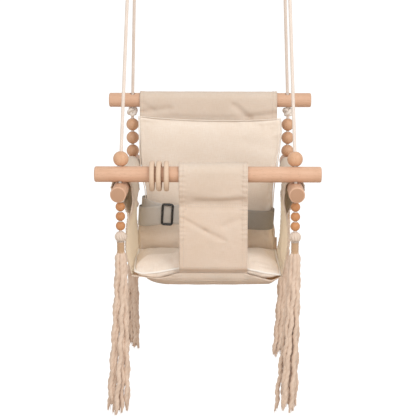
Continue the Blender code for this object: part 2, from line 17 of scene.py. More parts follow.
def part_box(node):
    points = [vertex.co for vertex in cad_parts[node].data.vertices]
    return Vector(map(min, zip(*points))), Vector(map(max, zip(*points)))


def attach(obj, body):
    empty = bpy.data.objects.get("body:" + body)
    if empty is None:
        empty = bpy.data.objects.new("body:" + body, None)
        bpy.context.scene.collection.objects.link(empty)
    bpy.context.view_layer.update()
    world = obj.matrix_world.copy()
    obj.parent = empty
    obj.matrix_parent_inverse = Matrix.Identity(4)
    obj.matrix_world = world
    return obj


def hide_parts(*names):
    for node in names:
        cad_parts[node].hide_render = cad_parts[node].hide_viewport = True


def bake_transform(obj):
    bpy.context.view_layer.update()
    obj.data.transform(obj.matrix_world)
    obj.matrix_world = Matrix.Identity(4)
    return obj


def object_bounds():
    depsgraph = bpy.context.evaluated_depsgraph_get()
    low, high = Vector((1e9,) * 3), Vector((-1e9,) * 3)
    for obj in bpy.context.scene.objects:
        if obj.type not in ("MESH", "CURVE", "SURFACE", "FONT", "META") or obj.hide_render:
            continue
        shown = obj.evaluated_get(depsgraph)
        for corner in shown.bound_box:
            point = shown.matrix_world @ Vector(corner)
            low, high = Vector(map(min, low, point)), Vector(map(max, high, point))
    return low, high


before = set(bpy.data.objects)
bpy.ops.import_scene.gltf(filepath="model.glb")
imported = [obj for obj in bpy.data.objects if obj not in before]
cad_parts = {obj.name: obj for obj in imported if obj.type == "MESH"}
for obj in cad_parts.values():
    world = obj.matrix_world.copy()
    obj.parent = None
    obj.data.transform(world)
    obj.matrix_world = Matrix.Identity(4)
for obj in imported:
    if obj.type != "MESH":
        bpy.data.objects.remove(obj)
CAD_LOW, CAD_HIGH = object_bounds()
RANDOM = np.random.default_rng(7)
SIDES = (("left", -1), ("right", 1))
ENDS = (("front", -1), ("rear", 1))


# ---------------------------------------------------------------- places read from the frame


def middle(node):
    low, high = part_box(node)
    return (low + high) / 2


def extent(node):
    low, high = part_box(node)
    return high - low


ARM_Z = middle("left_arm_bar").z
HOLE_X = middle("right_arm_bar").x
HOLE_Y = middle("rear_right_bead_1").y
FRONT_BAR = middle("front_bar")
BACK_BAR = middle("back_bar")
BAR_LENGTH = extent("front_bar").x
BAR_RADIUS = extent("front_bar").y / 2
HANG_RING_X = middle("right_hang_ring").x

FRONT_BEND_Z = ARM_Z + (FRONT_BAR.z - ARM_Z) / 2
REAR_BEND_Z = ARM_Z + 0.1049
FRONT_LEAN = math.atan(HOLE_Y / -FRONT_BEND_Z)
REAR_LEAN = math.atan(HOLE_Y / -REAR_BEND_Z)

# ---------------------------------------------------------------- sizes the frame doesn't hold

ROPE_DIAMETER = 0.006
EYE_RADIUS = 0.0065
EYE_OFFSET = 0.0035
EYE_TAIL = 0.052
ROPE_END_DROP = 0.0744
BAR_HOLE_RADIUS = 0.005
FRONT_HOLE_SHIFT = 0.0007
CLOTH = 0.0014
HEM = 0.009
STITCH_LENGTH = 0.0030
STITCH_PITCH = 0.0043
STITCH_RADIUS = 0.00042
STITCH_LIFT = CLOTH / 2 + 0.0002
EDGE_ROWS = (0.0016, HEM - 0.001)
BAR_SLEEVE = 0.0162
LOCK_BALL = (0.01375, 0.0051)
REAR_BEAD = (0.0125, 0.0039)
LOW_BEAD = (0.0085, 0.0039)
FLOOR_GAP = 0.28


# ---------------------------------------------------------------- mesh helpers


def new_mesh(name, verts, faces, uvs=None, smooth=True):
    """A mesh object with its faces turned out. uvs holds one list of points for each face."""
    mesh = bpy.data.meshes.new(name)
    mesh.from_pydata([tuple(v) for v in verts], [], faces)
    if uvs is not None:
        layer = mesh.uv_layers.new(name="metres")
        layer.data.foreach_set("uv", np.array([p for face in uvs for p in face], np.float32).ravel())
    shape = bmesh.new()
    shape.from_mesh(mesh)
    bmesh.ops.recalc_face_normals(shape, faces=shape.faces)
    shape.to_mesh(mesh)
    shape.free()
    if smooth:
        mesh.shade_smooth()
    obj = bpy.data.objects.new(name, mesh)
    bpy.context.scene.collection.objects.link(obj)
    return obj


def apply_modifiers(obj):
    """Keeps the object's evaluated mesh and drops its modifiers."""
    graph = bpy.context.evaluated_depsgraph_get()
    mesh = bpy.data.meshes.new_from_object(obj.evaluated_get(graph))
    obj.modifiers.clear()
    obj.data = mesh
    return obj


def finish_piece(obj, body, slot, look, *nodes):
    """Gives a piece its material and body, and lets it stand for its CAD nodes. slot is not used."""
    obj.data.materials.clear()
    obj.data.materials.append(look)
    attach(obj, body)
    if nodes:
        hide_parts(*nodes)
    return obj


def smooth_path(points, spacing=None, samples=16):
    """Points on a centripetal Catmull-Rom curve through the given points."""
    route = [Vector(p) for p in points]
    ends = [2 * route[0] - route[1], *route, 2 * route[-1] - route[-2]]
    dense = []
    for i in range(1, len(ends) - 2):
        p0, p1, p2, p3 = ends[i - 1 : i + 3]
        t1 = (p1 - p0).length ** 0.5
        t2 = t1 + (p2 - p1).length ** 0.5
        t3 = t2 + (p3 - p2).length ** 0.5
        for step in range(samples):
            t = t1 + (t2 - t1) * step / samples
            a1 = p0 * (t1 - t) / t1 + p1 * t / t1
            a2 = p1 * (t2 - t) / (t2 - t1) + p2 * (t - t1) / (t2 - t1)
            a3 = p2 * (t3 - t) / (t3 - t2) + p3 * (t - t2) / (t3 - t2)
            b1 = a1 * (t2 - t) / t2 + a2 * t / t2
            b2 = a2 * (t3 - t) / (t3 - t1) + a3 * (t - t1) / (t3 - t1)
            dense.append(b1 * (t2 - t) / (t2 - t1) + b2 * (t - t1) / (t2 - t1))
    dense.append(route[-1])
    return dense if spacing is None else even_path(dense, spacing)


def reach_along(line):
    """How far along a line each of its points is."""
    return np.concatenate([[0], np.cumsum(np.linalg.norm(np.diff(line, axis=0), axis=1))])


def even_path(points, spacing):
    """The same line with its points evenly spaced."""
    line = np.array([tuple(p) for p in points])
    reach = reach_along(line)
    at = np.linspace(0, reach[-1], max(2, round(reach[-1] / spacing) + 1))
    return np.column_stack([np.interp(at, reach, line[:, k]) for k in range(line.shape[1])])


def path_length(line):
    return float(reach_along(np.asarray(line, float))[-1])


def path_frames(line):
    """Tangent and two normals at each point, carried along without twist."""
    tangent = np.gradient(line, axis=0)
    tangent /= np.linalg.norm(tangent, axis=1)[:, None]
    start = np.array([0.0, 0, 1]) if abs(tangent[0][2]) < 0.9 else np.array([1.0, 0, 0])
    normal = start - tangent[0] * (start @ tangent[0])
    normals = [normal / np.linalg.norm(normal)]
    for t in tangent[1:]:
        normal = normals[-1] - t * (normals[-1] @ t)
        normals.append(normal / np.linalg.norm(normal))
    normals = np.array(normals)
    return tangent, normals, np.cross(tangent, normals)


def grid_faces(across, along, columns, rows):
    """Faces of a grid of points given row by row, and their UVs.

    across and along are the UVs of its lines. Where its ends join, it has one line more than points.
    """
    faces, uvs = [], []
    for i, (low, high) in enumerate(zip(along, along[1:])):
        here, there = i * columns, (i + 1) % rows * columns
        for k, (a, b) in enumerate(zip(across, across[1:])):
            j = (k + 1) % columns
            faces.append((here + k, here + j, there + j, there + k))
            uvs.append(((a, low), (b, low), (b, high), (a, high)))
    return faces, uvs


def tube_part(points, radius_at, sides, closed=False):
    """(vertices, faces, uvs) of a tube. radius_at(distance, angles) gives its radii.

    Its UVs are the turn round it and the metres along it.
    """
    line = np.asarray(points, float)
    _, first, second = path_frames(line)
    if closed:
        # Spread the turn that the carried frame has gained, so that the ends meet.
        lead = np.arctan2(first[0] @ second[-1], first[0] @ first[-1])
        gained = np.linspace(0, lead, len(line))[:, None]
        cos, sin = np.cos(gained), np.sin(gained)
        first, second = first * cos + second * sin, second * cos - first * sin
    reach = reach_along(line)
    angles = np.linspace(0, 2 * math.pi, sides, endpoint=False)
    verts = []
    for i, centre in enumerate(line):
        radii = radius_at(reach[i], angles)
        ring = np.outer(np.cos(angles) * radii, first[i]) + np.outer(np.sin(angles) * radii, second[i])
        verts.extend(centre + ring)
    along = [*reach, reach[-1] + reach[1]] if closed else list(reach)
    faces, uvs = grid_faces(np.linspace(0, 1, sides + 1), along, sides, len(line))
    if not closed:
        faces += [tuple(reversed(range(sides))), tuple(range(len(verts) - sides, len(verts)))]
        uvs += [[(0.5, 0.0)] * sides, [(0.5, reach[-1])] * sides]
    return verts, faces, uvs


def join_parts(name, parts):
    """One mesh from several (vertices, faces, uvs) parts."""
    verts, faces, uvs = [], [], []
    for part_verts, part_faces, part_uvs in parts:
        offset = len(verts)
        verts.extend(part_verts)
        faces.extend(tuple(i + offset for i in face) for face in part_faces)
        uvs.extend(part_uvs)
    return new_mesh(name, verts, faces, uvs)


def tube(name, points, radius_at, sides=16, closed=False):
    return join_parts(name, [tube_part(points, radius_at, sides, closed)])


def steady(radius):
    return lambda distance, angles: np.full(len(angles), radius)


def twisted(radius, lay, strands=3, depth=0.14, phase=0.0):
    """Radius of a laid cord: a few plies turning once in each lay length."""

    def radius_at(distance, angles):
        turn = strands * (angles - 2 * math.pi * distance / lay + phase)
        return radius * (1 - depth + depth * 2 * np.abs(np.cos(turn / 2)) ** 0.8)

    return radius_at


def polar(radius, angle, height=0.0):
    return Vector((radius * math.cos(angle), radius * math.sin(angle), height))


def turns(count):
    """Angles evenly round a full turn."""
    return [2 * math.pi * i / count for i in range(count)]


def revolved_part(profile, steps, centre, axis, bored=True):
    """A turned shape: (radius, height) points round an axis. A bored one's profile is a loop."""
    turn = Vector(axis).to_track_quat("Z", "Y").to_matrix()
    count = len(profile)
    verts = []
    for angle in turns(steps):
        verts += [Vector(centre) + turn @ polar(radius, angle, height) for radius, height in profile]
    across = np.linspace(0, 1, count + 1)[: None if bored else count]
    faces, uvs = grid_faces(across, np.linspace(0, 1, steps + 1), count, steps)
    if not bored:
        faces += [tuple(range(0, len(verts), count)), tuple(range(count - 1, len(verts), count))]
        uvs += [[(0.0, 0.0)] * steps, [(0.0, 1.0)] * steps]
    return verts, faces, uvs


def wobble(point, scale, seed=0.0):
    """Smooth noise from -1 to 1 at a place, with features of that size in metres."""
    return noise.noise(Vector((point[0] / scale + seed, point[1] / scale, point[2] / scale)))


def bump(value, centre, width):
    return math.exp(-(((value - centre) / width) ** 2))


def read_edge(edge, at):
    """The value of a drawn edge, given as (place, value) pairs, at one place."""
    return float(np.interp(at, [place for place, _ in edge], [value for _, value in edge]))


def ease(value, low, high):
    """0 below low, 1 above high and smooth between."""
    t = min(max((value - low) / (high - low), 0.0), 1.0)
    return t * t * (3 - 2 * t)


# ---------------------------------------------------------------- materials


class Look:
    """A Principled material under construction."""

    def __init__(self, name, roughness=0.5):
        self.material = bpy.data.materials.new(name)
        self.material.use_nodes = True
        self.tree = self.material.node_tree
        self.shader = self.tree.nodes["Principled BSDF"]
        self.shader.inputs["Roughness"].default_value = roughness
        self.place = self.node("ShaderNodeTexCoord")

    def node(self, kind, inputs=None, **settings):
        node = self.tree.nodes.new(kind)
        for name, value in settings.items():
            setattr(node, name, value)
        for key, value in (inputs or {}).items():
            self.feed(node.inputs[key], value)
        return node

    def feed(self, socket, value):
        if isinstance(value, bpy.types.NodeSocket):
            self.tree.links.new(value, socket)
        else:
            socket.default_value = value

    def set(self, **inputs):
        for name, value in inputs.items():
            self.feed(self.shader.inputs[name.replace("_", " ")], value)

    def mapped(self, source, scale=(1, 1, 1), location=(0, 0, 0), rotation=(0, 0, 0)):
        inputs = {"Vector": source, "Scale": scale, "Location": location, "Rotation": rotation}
        return self.node("ShaderNodeMapping", inputs).outputs["Vector"]

    def noise(self, vector, scale, detail=3.0, roughness=0.5, distortion=0.0):
        inputs = {"Vector": vector, "Scale": scale, "Detail": detail}
        inputs |= {"Roughness": roughness, "Distortion": distortion}
        return self.node("ShaderNodeTexNoise", inputs).outputs["Fac"]

    def wave(self, vector, scale, distortion=0.0, **settings):
        inputs = {"Vector": vector, "Scale": scale, "Distortion": distortion}
        inputs |= {"Detail": 2.0, "Detail Scale": 1.5}
        return self.node("ShaderNodeTexWave", inputs, **settings).outputs["Fac"]

    def ramp(self, value, low, high, start=0.0, end=1.0):
        """value taken from the range low to high onto the range start to end, and clamped."""
        inputs = {"Value": value, "From Min": low, "From Max": high, "To Min": start, "To Max": end}
        return self.node("ShaderNodeMapRange", inputs).outputs["Result"]

    def maths(self, operation, a, b=0.0):
        return self.node("ShaderNodeMath", {0: a, 1: b}, operation=operation).outputs[0]

    def mix(self, factor, a, b, blend="MIX"):
        """Two colours mixed, each a socket or an (r, g, b)."""
        inputs = {0: factor}
        for key, value in ((6, a), (7, b)):
            inputs[key] = value if isinstance(value, bpy.types.NodeSocket) else (*value, 1.0)
        return self.node("ShaderNodeMix", inputs, data_type="RGBA", blend_type=blend).outputs[2]

    def tint(self, color, shade, value, low, high, most):
        """The colour turned towards shade as value goes from low to high."""
        return self.mix(self.ramp(value, low, high, 0.0, most), color, shade)

    def times(self, a, b):
        return self.maths("MULTIPLY", a, b)

    def bump(self, height, strength, distance):
        inputs = {"Height": height, "Strength": strength, "Distance": distance}
        self.set(Normal=self.node("ShaderNodeBump", inputs).outputs["Normal"])


GRAIN_TURNS = {"X": (0, math.pi / 2, 0), "Y": (math.pi / 2, 0, 0), "Z": (0, 0, 0)}


def wood_look(name, pale, dark, grain, centre=(0.05, 0.03), roughness=0.48, streaks=0.22, ends=0.0):
    """Fine-sanded beech: growth rings round a far axis, long fibres and short darker flecks."""
    look = Look(name)
    turned = look.mapped(look.place.outputs["Object"], rotation=GRAIN_TURNS[grain])
    long = look.mapped(turned, scale=(1, 1, 0.10), location=(*centre, 0))
    fine = look.mapped(turned, scale=(1, 1, 0.045))
    rings = look.wave(long, 44, 5.0, wave_type="RINGS", rings_direction="Z")
    drift = look.noise(turned, 28, 2.0)
    fibres = look.noise(fine, 1500, 3.0, 0.6)
    flecks = look.ramp(look.noise(look.mapped(turned, scale=(1, 1, 0.16)), 950, 1.0), 0.62, 0.72)
    color = look.tint(pale, dark, rings, 0.2, 1.0, streaks)
    color = look.tint(color, dark, drift, 0.35, 0.65, 0.30)
    color = look.tint(color, tuple(c * 0.62 for c in dark), fibres, 0.40, 0.66, 0.16)
    color = look.mix(look.times(flecks, 0.30), color, tuple(c * 0.55 for c in dark))
    facing = look.mapped(look.place.outputs["Normal"], rotation=GRAIN_TURNS[grain])
    parts = look.node("ShaderNodeSeparateXYZ", {0: facing})
    end_grain = look.ramp(look.maths("ABSOLUTE", parts.outputs[2]), 0.90, 0.97, 0.0, ends)
    color = look.mix(end_grain, color, tuple(c * 0.78 for c in dark))
    rough = look.ramp(fibres, 0.3, 0.7, roughness - 0.06, roughness + 0.10)
    look.set(Base_Color=color, Roughness=rough, Specular_IOR_Level=0.35)
    look.bump(fibres, 0.25, 0.0002)
    return look.material


def cotton_look(name, pale, shade, plies=0.0, lay=0.017):
    """Soft cotton cord. plies above zero draws slanting yarns round a tube with UVs of turn and metres, and
    paints shade into the grooves between them.
    """
    look = Look(name, 0.92)
    place = look.place.outputs["Object"]
    fluff = look.noise(place, 900, 4.0, 0.65)
    patch = look.noise(place, 60, 2.0)
    wound = look.mapped(look.place.outputs["UV"], scale=(1.0, 1.0 / lay, 1.0))
    parts = look.node("ShaderNodeSeparateXYZ", {0: wound})
    slant = look.maths("ADD", parts.outputs[0], look.times(parts.outputs[1], -1.0))
    yarn = look.ramp(look.maths("SINE", look.times(slant, 2 * math.pi * max(plies, 1.0))), -1.0, 1.0)
    color = look.tint(pale, shade, fluff, 0.35, 0.70, 0.45)
    color = look.tint(color, shade, patch, 0.35, 0.70, 0.25)
    height = fluff
    if plies:
        # Painted shade: the grooves between the plies' yarns are turned towards the shade colour.
        color = look.mix(look.times(look.ramp(yarn, 0.0, 0.45, 1.0, 0.0), 0.40), color, shade)
        height = look.maths("ADD", look.times(yarn, 0.8), look.times(fluff, 0.5))
    look.set(Base_Color=color, Sheen_Weight=0.25, Sheen_Roughness=0.6, Specular_IOR_Level=0.15)
    look.bump(height, 0.55, 0.0006)
    return look.material


def braid_look(name, pale, shade, pitch=0.011, yarns=8):
    """Round braided cotton: yarns crossing on two slants, from UVs of turn and metres, with painted shade
    between the yarns.
    """
    look = Look(name, 0.9)
    parts = look.node("ShaderNodeSeparateXYZ", {0: look.place.outputs["UV"]})
    along = look.maths("DIVIDE", parts.outputs[1], pitch)
    waves = []
    for way in (1.0, -1.0):
        slant = look.maths("ADD", parts.outputs[0], look.times(along, way))
        waves.append(look.maths("COSINE", look.times(slant, 2 * math.pi * yarns / 2)))
    weave = look.ramp(look.maths("MAXIMUM", *waves), -0.4, 1.0)
    fluff = look.noise(look.place.outputs["Object"], 1200, 3.0, 0.6)
    patch = look.noise(look.place.outputs["Object"], 45, 2.0)
    # Painted shade: where the yarns dip between crossings the colour is turned towards the shade colour.
    color = look.mix(look.ramp(weave, 0.0, 0.7, 0.55, 0.0), pale, shade)
    color = look.tint(color, shade, patch, 0.3, 0.7, 0.30)
    look.set(Base_Color=color, Sheen_Weight=0.2, Sheen_Roughness=0.6, Specular_IOR_Level=0.15)
    height = look.maths("ADD", weave, look.times(fluff, 0.4))
    look.bump(height, 0.6, 0.0006)
    return look.material


def canvas_look(name, pale, shade, glow=0.0, glow_color=(0.9, 0.6, 0.32), single_below=None):
    """Plain-woven cotton canvas. Threads follow the UVs, in metres, and glow is how much light comes through.

    Above the height single_below the cloth is double, and lets through less.
    """
    look = Look(name, 0.88)
    cloth = look.place.outputs["UV"]
    warp = look.wave(cloth, 350, 0.6, wave_type="BANDS", bands_direction="X")
    weft = look.wave(cloth, 330, 0.6, wave_type="BANDS", bands_direction="Y")
    weave = look.maths("ADD", warp, weft)
    slubs = look.noise(look.mapped(cloth, scale=(0.12, 1.0, 1.0)), 700, 3.0, 0.6)
    cross = look.noise(look.mapped(cloth, scale=(1.0, 0.12, 1.0), location=(3, 1, 0)), 700, 3.0, 0.6)
    patch = look.noise(look.place.outputs["Object"], 22, 3.0, 0.55)
    seeds = look.ramp(look.noise(look.place.outputs["Object"], 1300, 1.0), 0.74, 0.80)
    color = look.tint(pale, shade, look.maths("ADD", slubs, cross), 0.85, 1.25, 0.50)
    # Painted shade: the gaps between the warp and weft threads are turned towards the shade colour.
    color = look.mix(look.ramp(weave, 0.0, 0.9, 0.32, 0.0), color, shade)
    color = look.tint(color, shade, patch, 0.35, 0.70, 0.32)
    color = look.mix(look.times(seeds, 0.35), color, (0.40, 0.27, 0.15))
    look.set(Base_Color=color, Sheen_Weight=0.15, Sheen_Roughness=0.7, Specular_IOR_Level=0.12)
    threads = look.maths("ADD", look.times(weave, 0.5), look.maths("ADD", slubs, cross))
    look.bump(threads, 0.35, 0.0005)
    if single_below:
        parts = look.node("ShaderNodeSeparateXYZ", {0: look.place.outputs["Object"]})
        glow = look.ramp(parts.outputs[2], single_below - 0.03, single_below, glow, 0.22)
    if glow:
        through = look.node("ShaderNodeBsdfTranslucent", {"Color": (*glow_color, 1.0)})
        inputs = {0: glow, 1: look.shader.outputs[0], 2: through.outputs[0]}
        mixed = look.node("ShaderNodeMixShader", inputs)
        output = look.tree.nodes["Material Output"]
        look.feed(output.inputs["Surface"], mixed.outputs[0])
    return look.material


def webbing_look(name, pale, shade):
    """Flat woven polypropylene webbing: ribs along the strap and a fine slant across it, with painted shade
    in the hollows between them.
    """
    look = Look(name, 0.62)
    cloth = look.place.outputs["UV"]
    ribs = look.wave(cloth, 200, 0.2, wave_type="BANDS", bands_direction="X")
    slanted = look.mapped(cloth, rotation=(0, 0, 0.45))
    picks = look.wave(slanted, 330, 0.3, wave_type="BANDS", bands_direction="Y")
    patch = look.noise(look.place.outputs["Object"], 120, 3.0)
    # Painted shade: the hollows between the ribs and between the slanting picks are darkened.
    color = look.mix(look.ramp(ribs, 0.0, 0.6, 0.55, 0.0), pale, shade)
    color = look.mix(look.ramp(picks, 0.0, 0.8, 0.35, 0.0), color, shade)
    color = look.tint(color, shade, patch, 0.3, 0.7, 0.25)
    look.set(Base_Color=color, Sheen_Weight=0.1, Specular_IOR_Level=0.3)
    look.bump(look.maths("ADD", ribs, look.times(picks, 0.6)), 0.5, 0.0005)
    return look.material


def plastic_look(name, color, roughness):
    look = Look(name, roughness)
    grain = look.noise(look.place.outputs["Object"], 2600, 2.0)
    wear = look.noise(look.place.outputs["Object"], 130, 3.0)
    look.set(Base_Color=look.mix(look.ramp(wear, 0.4, 0.8, 0.0, 0.3), color, tuple(c * 2.2 for c in color)))
    look.set(Roughness=look.ramp(wear, 0.3, 0.7, roughness - 0.06, roughness + 0.10))
    look.bump(grain, 0.12, 0.0002)
    return look.material


def steel_look(name):
    look = Look(name, 0.28)
    brushed = look.noise(look.mapped(look.place.outputs["Object"], scale=(1, 0.2, 1)), 900, 3.0)
    smudge = look.noise(look.place.outputs["Object"], 90, 3.0)
    color = look.mix(look.ramp(smudge, 0.3, 0.7, 0.0, 0.5), (0.66, 0.66, 0.66), (0.52, 0.51, 0.49))
    look.set(Base_Color=color, Metallic=1.0, Roughness=look.ramp(smudge, 0.3, 0.7, 0.20, 0.40))
    look.bump(brushed, 0.10, 0.0001)
    return look.material


def paper_look(name, color, glow):
    look = Look(name, 0.95)
    grain = look.noise(look.place.outputs["Object"], 3.0, 2.0)
    tone = look.tint(color, (0.9, 0.9, 0.9), grain, 0.3, 0.7, 0.02)
    look.set(Base_Color=tone, Specular_IOR_Level=0.0, Emission_Color=(1, 1, 1, 1), Emission_Strength=glow)
    return look.material


BAR_PALE, BAR_DARK = (0.69, 0.435, 0.295), (0.58, 0.33, 0.20)
BAR_X_WOOD = wood_look("beech_bar_across", BAR_PALE, BAR_DARK, "X", ends=1.0)
BAR_Y_WOOD = wood_look("beech_bar_lengthwise", BAR_PALE, BAR_DARK, "Y", (0.03, 0.06), ends=1.0)
BALL_WOOD = wood_look("beech_ball", (0.68, 0.41, 0.255), (0.56, 0.30, 0.16), "Z", (0.02, 0.05), 0.44)
BEAD_WOOD = wood_look("beech_bead", (0.60, 0.285, 0.125), (0.45, 0.185, 0.07), "Z", (0.02, 0.05), 0.42)
RING_WOOD = wood_look("maple_ring", (0.72, 0.54, 0.40), (0.60, 0.42, 0.28), "Y", (0.01, 0.02), 0.5, 0.12)
ROPE_COTTON = braid_look("braided_cotton", (0.86, 0.76, 0.68), (0.66, 0.52, 0.42))
KNOT_COTTON = cotton_look("knot_cotton", (0.88, 0.82, 0.75), (0.68, 0.58, 0.48))
TASSEL_COTTON = cotton_look("tassel_cotton", (0.76, 0.60, 0.48), (0.50, 0.33, 0.22))
HEAD_COTTON = cotton_look("tassel_head_cotton", (0.80, 0.68, 0.58), (0.58, 0.44, 0.33), 3.0, 0.008)
WRAP_CORD = cotton_look("wrap_cord", (0.62, 0.42, 0.26), (0.42, 0.25, 0.13))
CLOTH_PALE, CLOTH_DARK = (0.84, 0.73, 0.62), (0.74, 0.60, 0.46)
CANVAS = canvas_look("canvas", CLOTH_PALE, CLOTH_DARK, 0.22)
WING_CANVAS = canvas_look("wing_canvas", CLOTH_PALE, CLOTH_DARK, 0.55, (1.0, 0.92, 0.78), ARM_Z - 0.050)
CUSHION_CANVAS = canvas_look("cushion_canvas", (0.87, 0.77, 0.67), (0.77, 0.63, 0.50))
PIPING = canvas_look("piping", (0.95, 0.91, 0.85), (0.87, 0.79, 0.69))
THREAD = cotton_look("sewing_thread", (0.80, 0.67, 0.56), (0.58, 0.42, 0.30))
LEFT_WEBBING = webbing_look("webbing_left", (0.56, 0.52, 0.47), (0.42, 0.38, 0.34))
# Painted shade: the right strap is given a darker copy of the left webbing's colour for the shade it hangs
# in.
SHADED_RIGHT_WEBBING = webbing_look("webbing_right_painted_shade", (0.37, 0.34, 0.30), (0.25, 0.225, 0.20))
BLACK_PLASTIC = plastic_look("black_plastic", (0.012, 0.011, 0.011), 0.24)
STEEL = steel_look("steel")


# ---------------------------------------------------------------- wooden pieces


def bend_height(end):
    """Where a rope's leaning stretch ends and its plumb one begins."""
    return FRONT_BEND_Z if end < 0 else REAR_BEND_Z


def rope_at(side, end, z):
    """The point of a rope's leaning stretch at a height, and the way up along it."""
    top = Vector((side * (HANG_RING_X - end * EYE_OFFSET), 0, 0))
    bend = Vector((side * HOLE_X, end * HOLE_Y, bend_height(end)))
    return bend.lerp(top, (z - bend.z) / (top.z - bend.z)), (top - bend).normalized()


def make_bar(name, node, body, axis, holes, look):
    """A dowel with eased ends. holes are (point, direction) of the rope holes."""
    half, edge = BAR_LENGTH / 2, 0.003
    profile = []
    for i in range(6):
        angle = math.pi / 2 * i / 5
        profile.append((BAR_RADIUS - edge * (1 - math.sin(angle)), -half + edge * (1 - math.cos(angle))))
    profile += [(BAR_RADIUS, z) for z in np.linspace(-half + edge + 0.004, half - edge - 0.004, 70)]
    profile += [(r, -z) for r, z in reversed(profile[:6])]
    bar = join_parts(name, [revolved_part(profile, 72, middle(node), axis, bored=False)])
    for point, direction in holes:
        drill = [(BAR_HOLE_RADIUS, -0.03), (BAR_HOLE_RADIUS, 0.03)]
        cutter = join_parts("drill", [revolved_part(drill, 40, point, direction, bored=False)])
        cut = bar.modifiers.new("hole", "BOOLEAN")
        cut.operation, cut.solver, cut.object = "DIFFERENCE", "EXACT", cutter
        apply_modifiers(bar)
        bpy.data.objects.remove(cutter)
    bar.data.shade_smooth()
    bar.data.set_sharp_from_angle(angle=math.radians(42))
    return finish_piece(bar, body, "bar_wood", look, node)


def make_ball(name, node, body, axis, sizes, look):
    """A drilled ball. sizes are its radius and the radius of the hole's eased mouth."""
    radius, hole = sizes
    edge = math.asin(hole / radius)
    angles = np.linspace(edge, math.pi - edge, 26)
    profile = [(radius * math.sin(a), radius * math.cos(a)) for a in angles]
    half = radius * math.cos(edge) - 0.0006
    profile += [(hole * 0.93, -half), (hole * 0.93, half)]
    ball = join_parts(name, [revolved_part(profile, 48, middle(node), axis)])
    ball.data.set_sharp_from_angle(angle=math.radians(50))
    return finish_piece(ball, body, "bead_wood", look, node)


def make_play_ring(index, tilt):
    node = f"play_ring_{index}"
    size = extent(node)
    outer, half = size.z / 2, size.x / 2
    profile = []
    for angle in turns(24):
        wide, deep = math.cos(angle), math.sin(angle)
        radius = outer - 0.005 + 0.005 * math.copysign(abs(wide) ** 0.8, wide)
        profile.append((radius, half * math.copysign(abs(deep) ** 0.75, deep)))
    centre = middle(node) - Vector((0, 0, 0.0006))
    axis = (1, math.sin(tilt), 0)
    ring = join_parts(f"wooden_play_ring_{index}", [revolved_part(profile, 80, centre, axis)])
    return finish_piece(ring, node, "ring_wood", RING_WOOD, node)


def make_hang_ring(label):
    node = f"{label}_hang_ring"
    radius = extent(node).z / 2
    wire = extent(node).y / 2
    profile = [(radius - wire + wire * math.cos(angle), wire * math.sin(angle)) for angle in turns(20)]
    ring = join_parts(f"{label}_steel_ring", [revolved_part(profile, 72, middle(node), (0, 1, 0))])
    return finish_piece(ring, "hangers", "steel", STEEL, node)


def make_wood():
    up = (0, 0, 1)
    back_holes = [rope_at(side, 1, BACK_BAR.z) for _, side in SIDES]
    make_bar("back_dowel", "back_bar", "swing", (1, 0, 0), back_holes, BAR_X_WOOD)
    lean = (0, math.sin(FRONT_LEAN), math.cos(FRONT_LEAN))
    shift = HOLE_X - FRONT_HOLE_SHIFT
    front_holes = [((side * shift, FRONT_BAR.y, FRONT_BAR.z), lean) for _, side in SIDES]
    make_bar("front_dowel", "front_bar", "front_bar", (1, 0, 0), front_holes, BAR_X_WOOD)
    for label, side in SIDES:
        holes = [((side * HOLE_X, end * HOLE_Y, ARM_Z), up) for _, end in ENDS]
        make_bar(f"{label}_arm_dowel", f"{label}_arm_bar", "swing", (0, 1, 0), holes, BAR_Y_WOOD)
        _, along = rope_at(side, -1, FRONT_BAR.z)
        ball = f"{label}_lock_ball"
        make_ball(f"{label}_lock_wood_ball", ball, ball, along, LOCK_BALL, BALL_WOOD)
        for i in (1, 2, 3):
            node, body = f"rear_{label}_bead_{i}", f"rear_{label}_beads"
            make_ball(f"rear_{label}_wood_bead_{i}", node, body, up, REAR_BEAD, BALL_WOOD)
            for end_name, _ in ENDS:
                corner = f"{end_name}_{label}_low"
                node, body = f"{corner}_bead_{i}", f"{corner}_beads"
                make_ball(f"{corner}_wood_bead_{i}", node, body, up, LOW_BEAD, BEAD_WOOD)
    for index, tilt in ((1, 0.02), (2, -0.015), (3, 0.03)):
        make_play_ring(index, tilt)
    for label, _ in SIDES:
        make_hang_ring(label)


# ---------------------------------------------------------------- ropes and knots


def rope_axes(end):
    """Directions down the leaning stretch and across it, in (y, z)."""
    lean = FRONT_LEAN if end < 0 else REAR_LEAN
    down = Vector((end * math.sin(lean), -math.cos(lean)))
    return down, Vector((-end * math.cos(lean), -math.sin(lean)))


def rope_x(side, end, t):
    """How far across the swing a rope is, t metres down its leaning stretch."""
    top = HANG_RING_X - end * EYE_OFFSET
    share = max(t, 0.0) * rope_axes(end)[0].y / bend_height(end)
    return side * (top + (HOLE_X - top) * share)


def rope_route(side, end):
    """The rope from its eye's tail, over the hang ring, down to the knot above the tassel."""
    bend_z = bend_height(end)
    down, across = rope_axes(end)
    reach = bend_z / down.y
    tail = EYE_RADIUS + 0.0001
    steps = [(EYE_TAIL, tail), (0.036, tail), (0.020, tail), (0.008, tail)]
    for degrees in range(0, 181, 30):
        angle = math.radians(degrees)
        steps.append((-EYE_RADIUS * math.sin(angle), EYE_RADIUS * math.cos(angle)))
    steps += [(0.009, -0.0052), (0.019, -0.0018), (0.031, 0.0)]
    points = [down * t + across * w for t, w in steps]
    route = [(rope_x(side, end, t), p.x, p.y) for (t, _), p in zip(steps, points)]
    for t in (0.06, 0.10, 0.18, 0.26, 0.34, 0.42, reach - 0.060, reach - 0.035, reach - 0.012):
        point = down * t
        route.append((rope_x(side, end, t), point.x, point.y))
    end_z = ARM_Z - ROPE_END_DROP
    plumb = [bend_z - 0.012, bend_z - 0.030, (bend_z - 0.030 + end_z) / 2, end_z]
    return route + [(side * HOLE_X, end * HOLE_Y, z) for z in plumb]


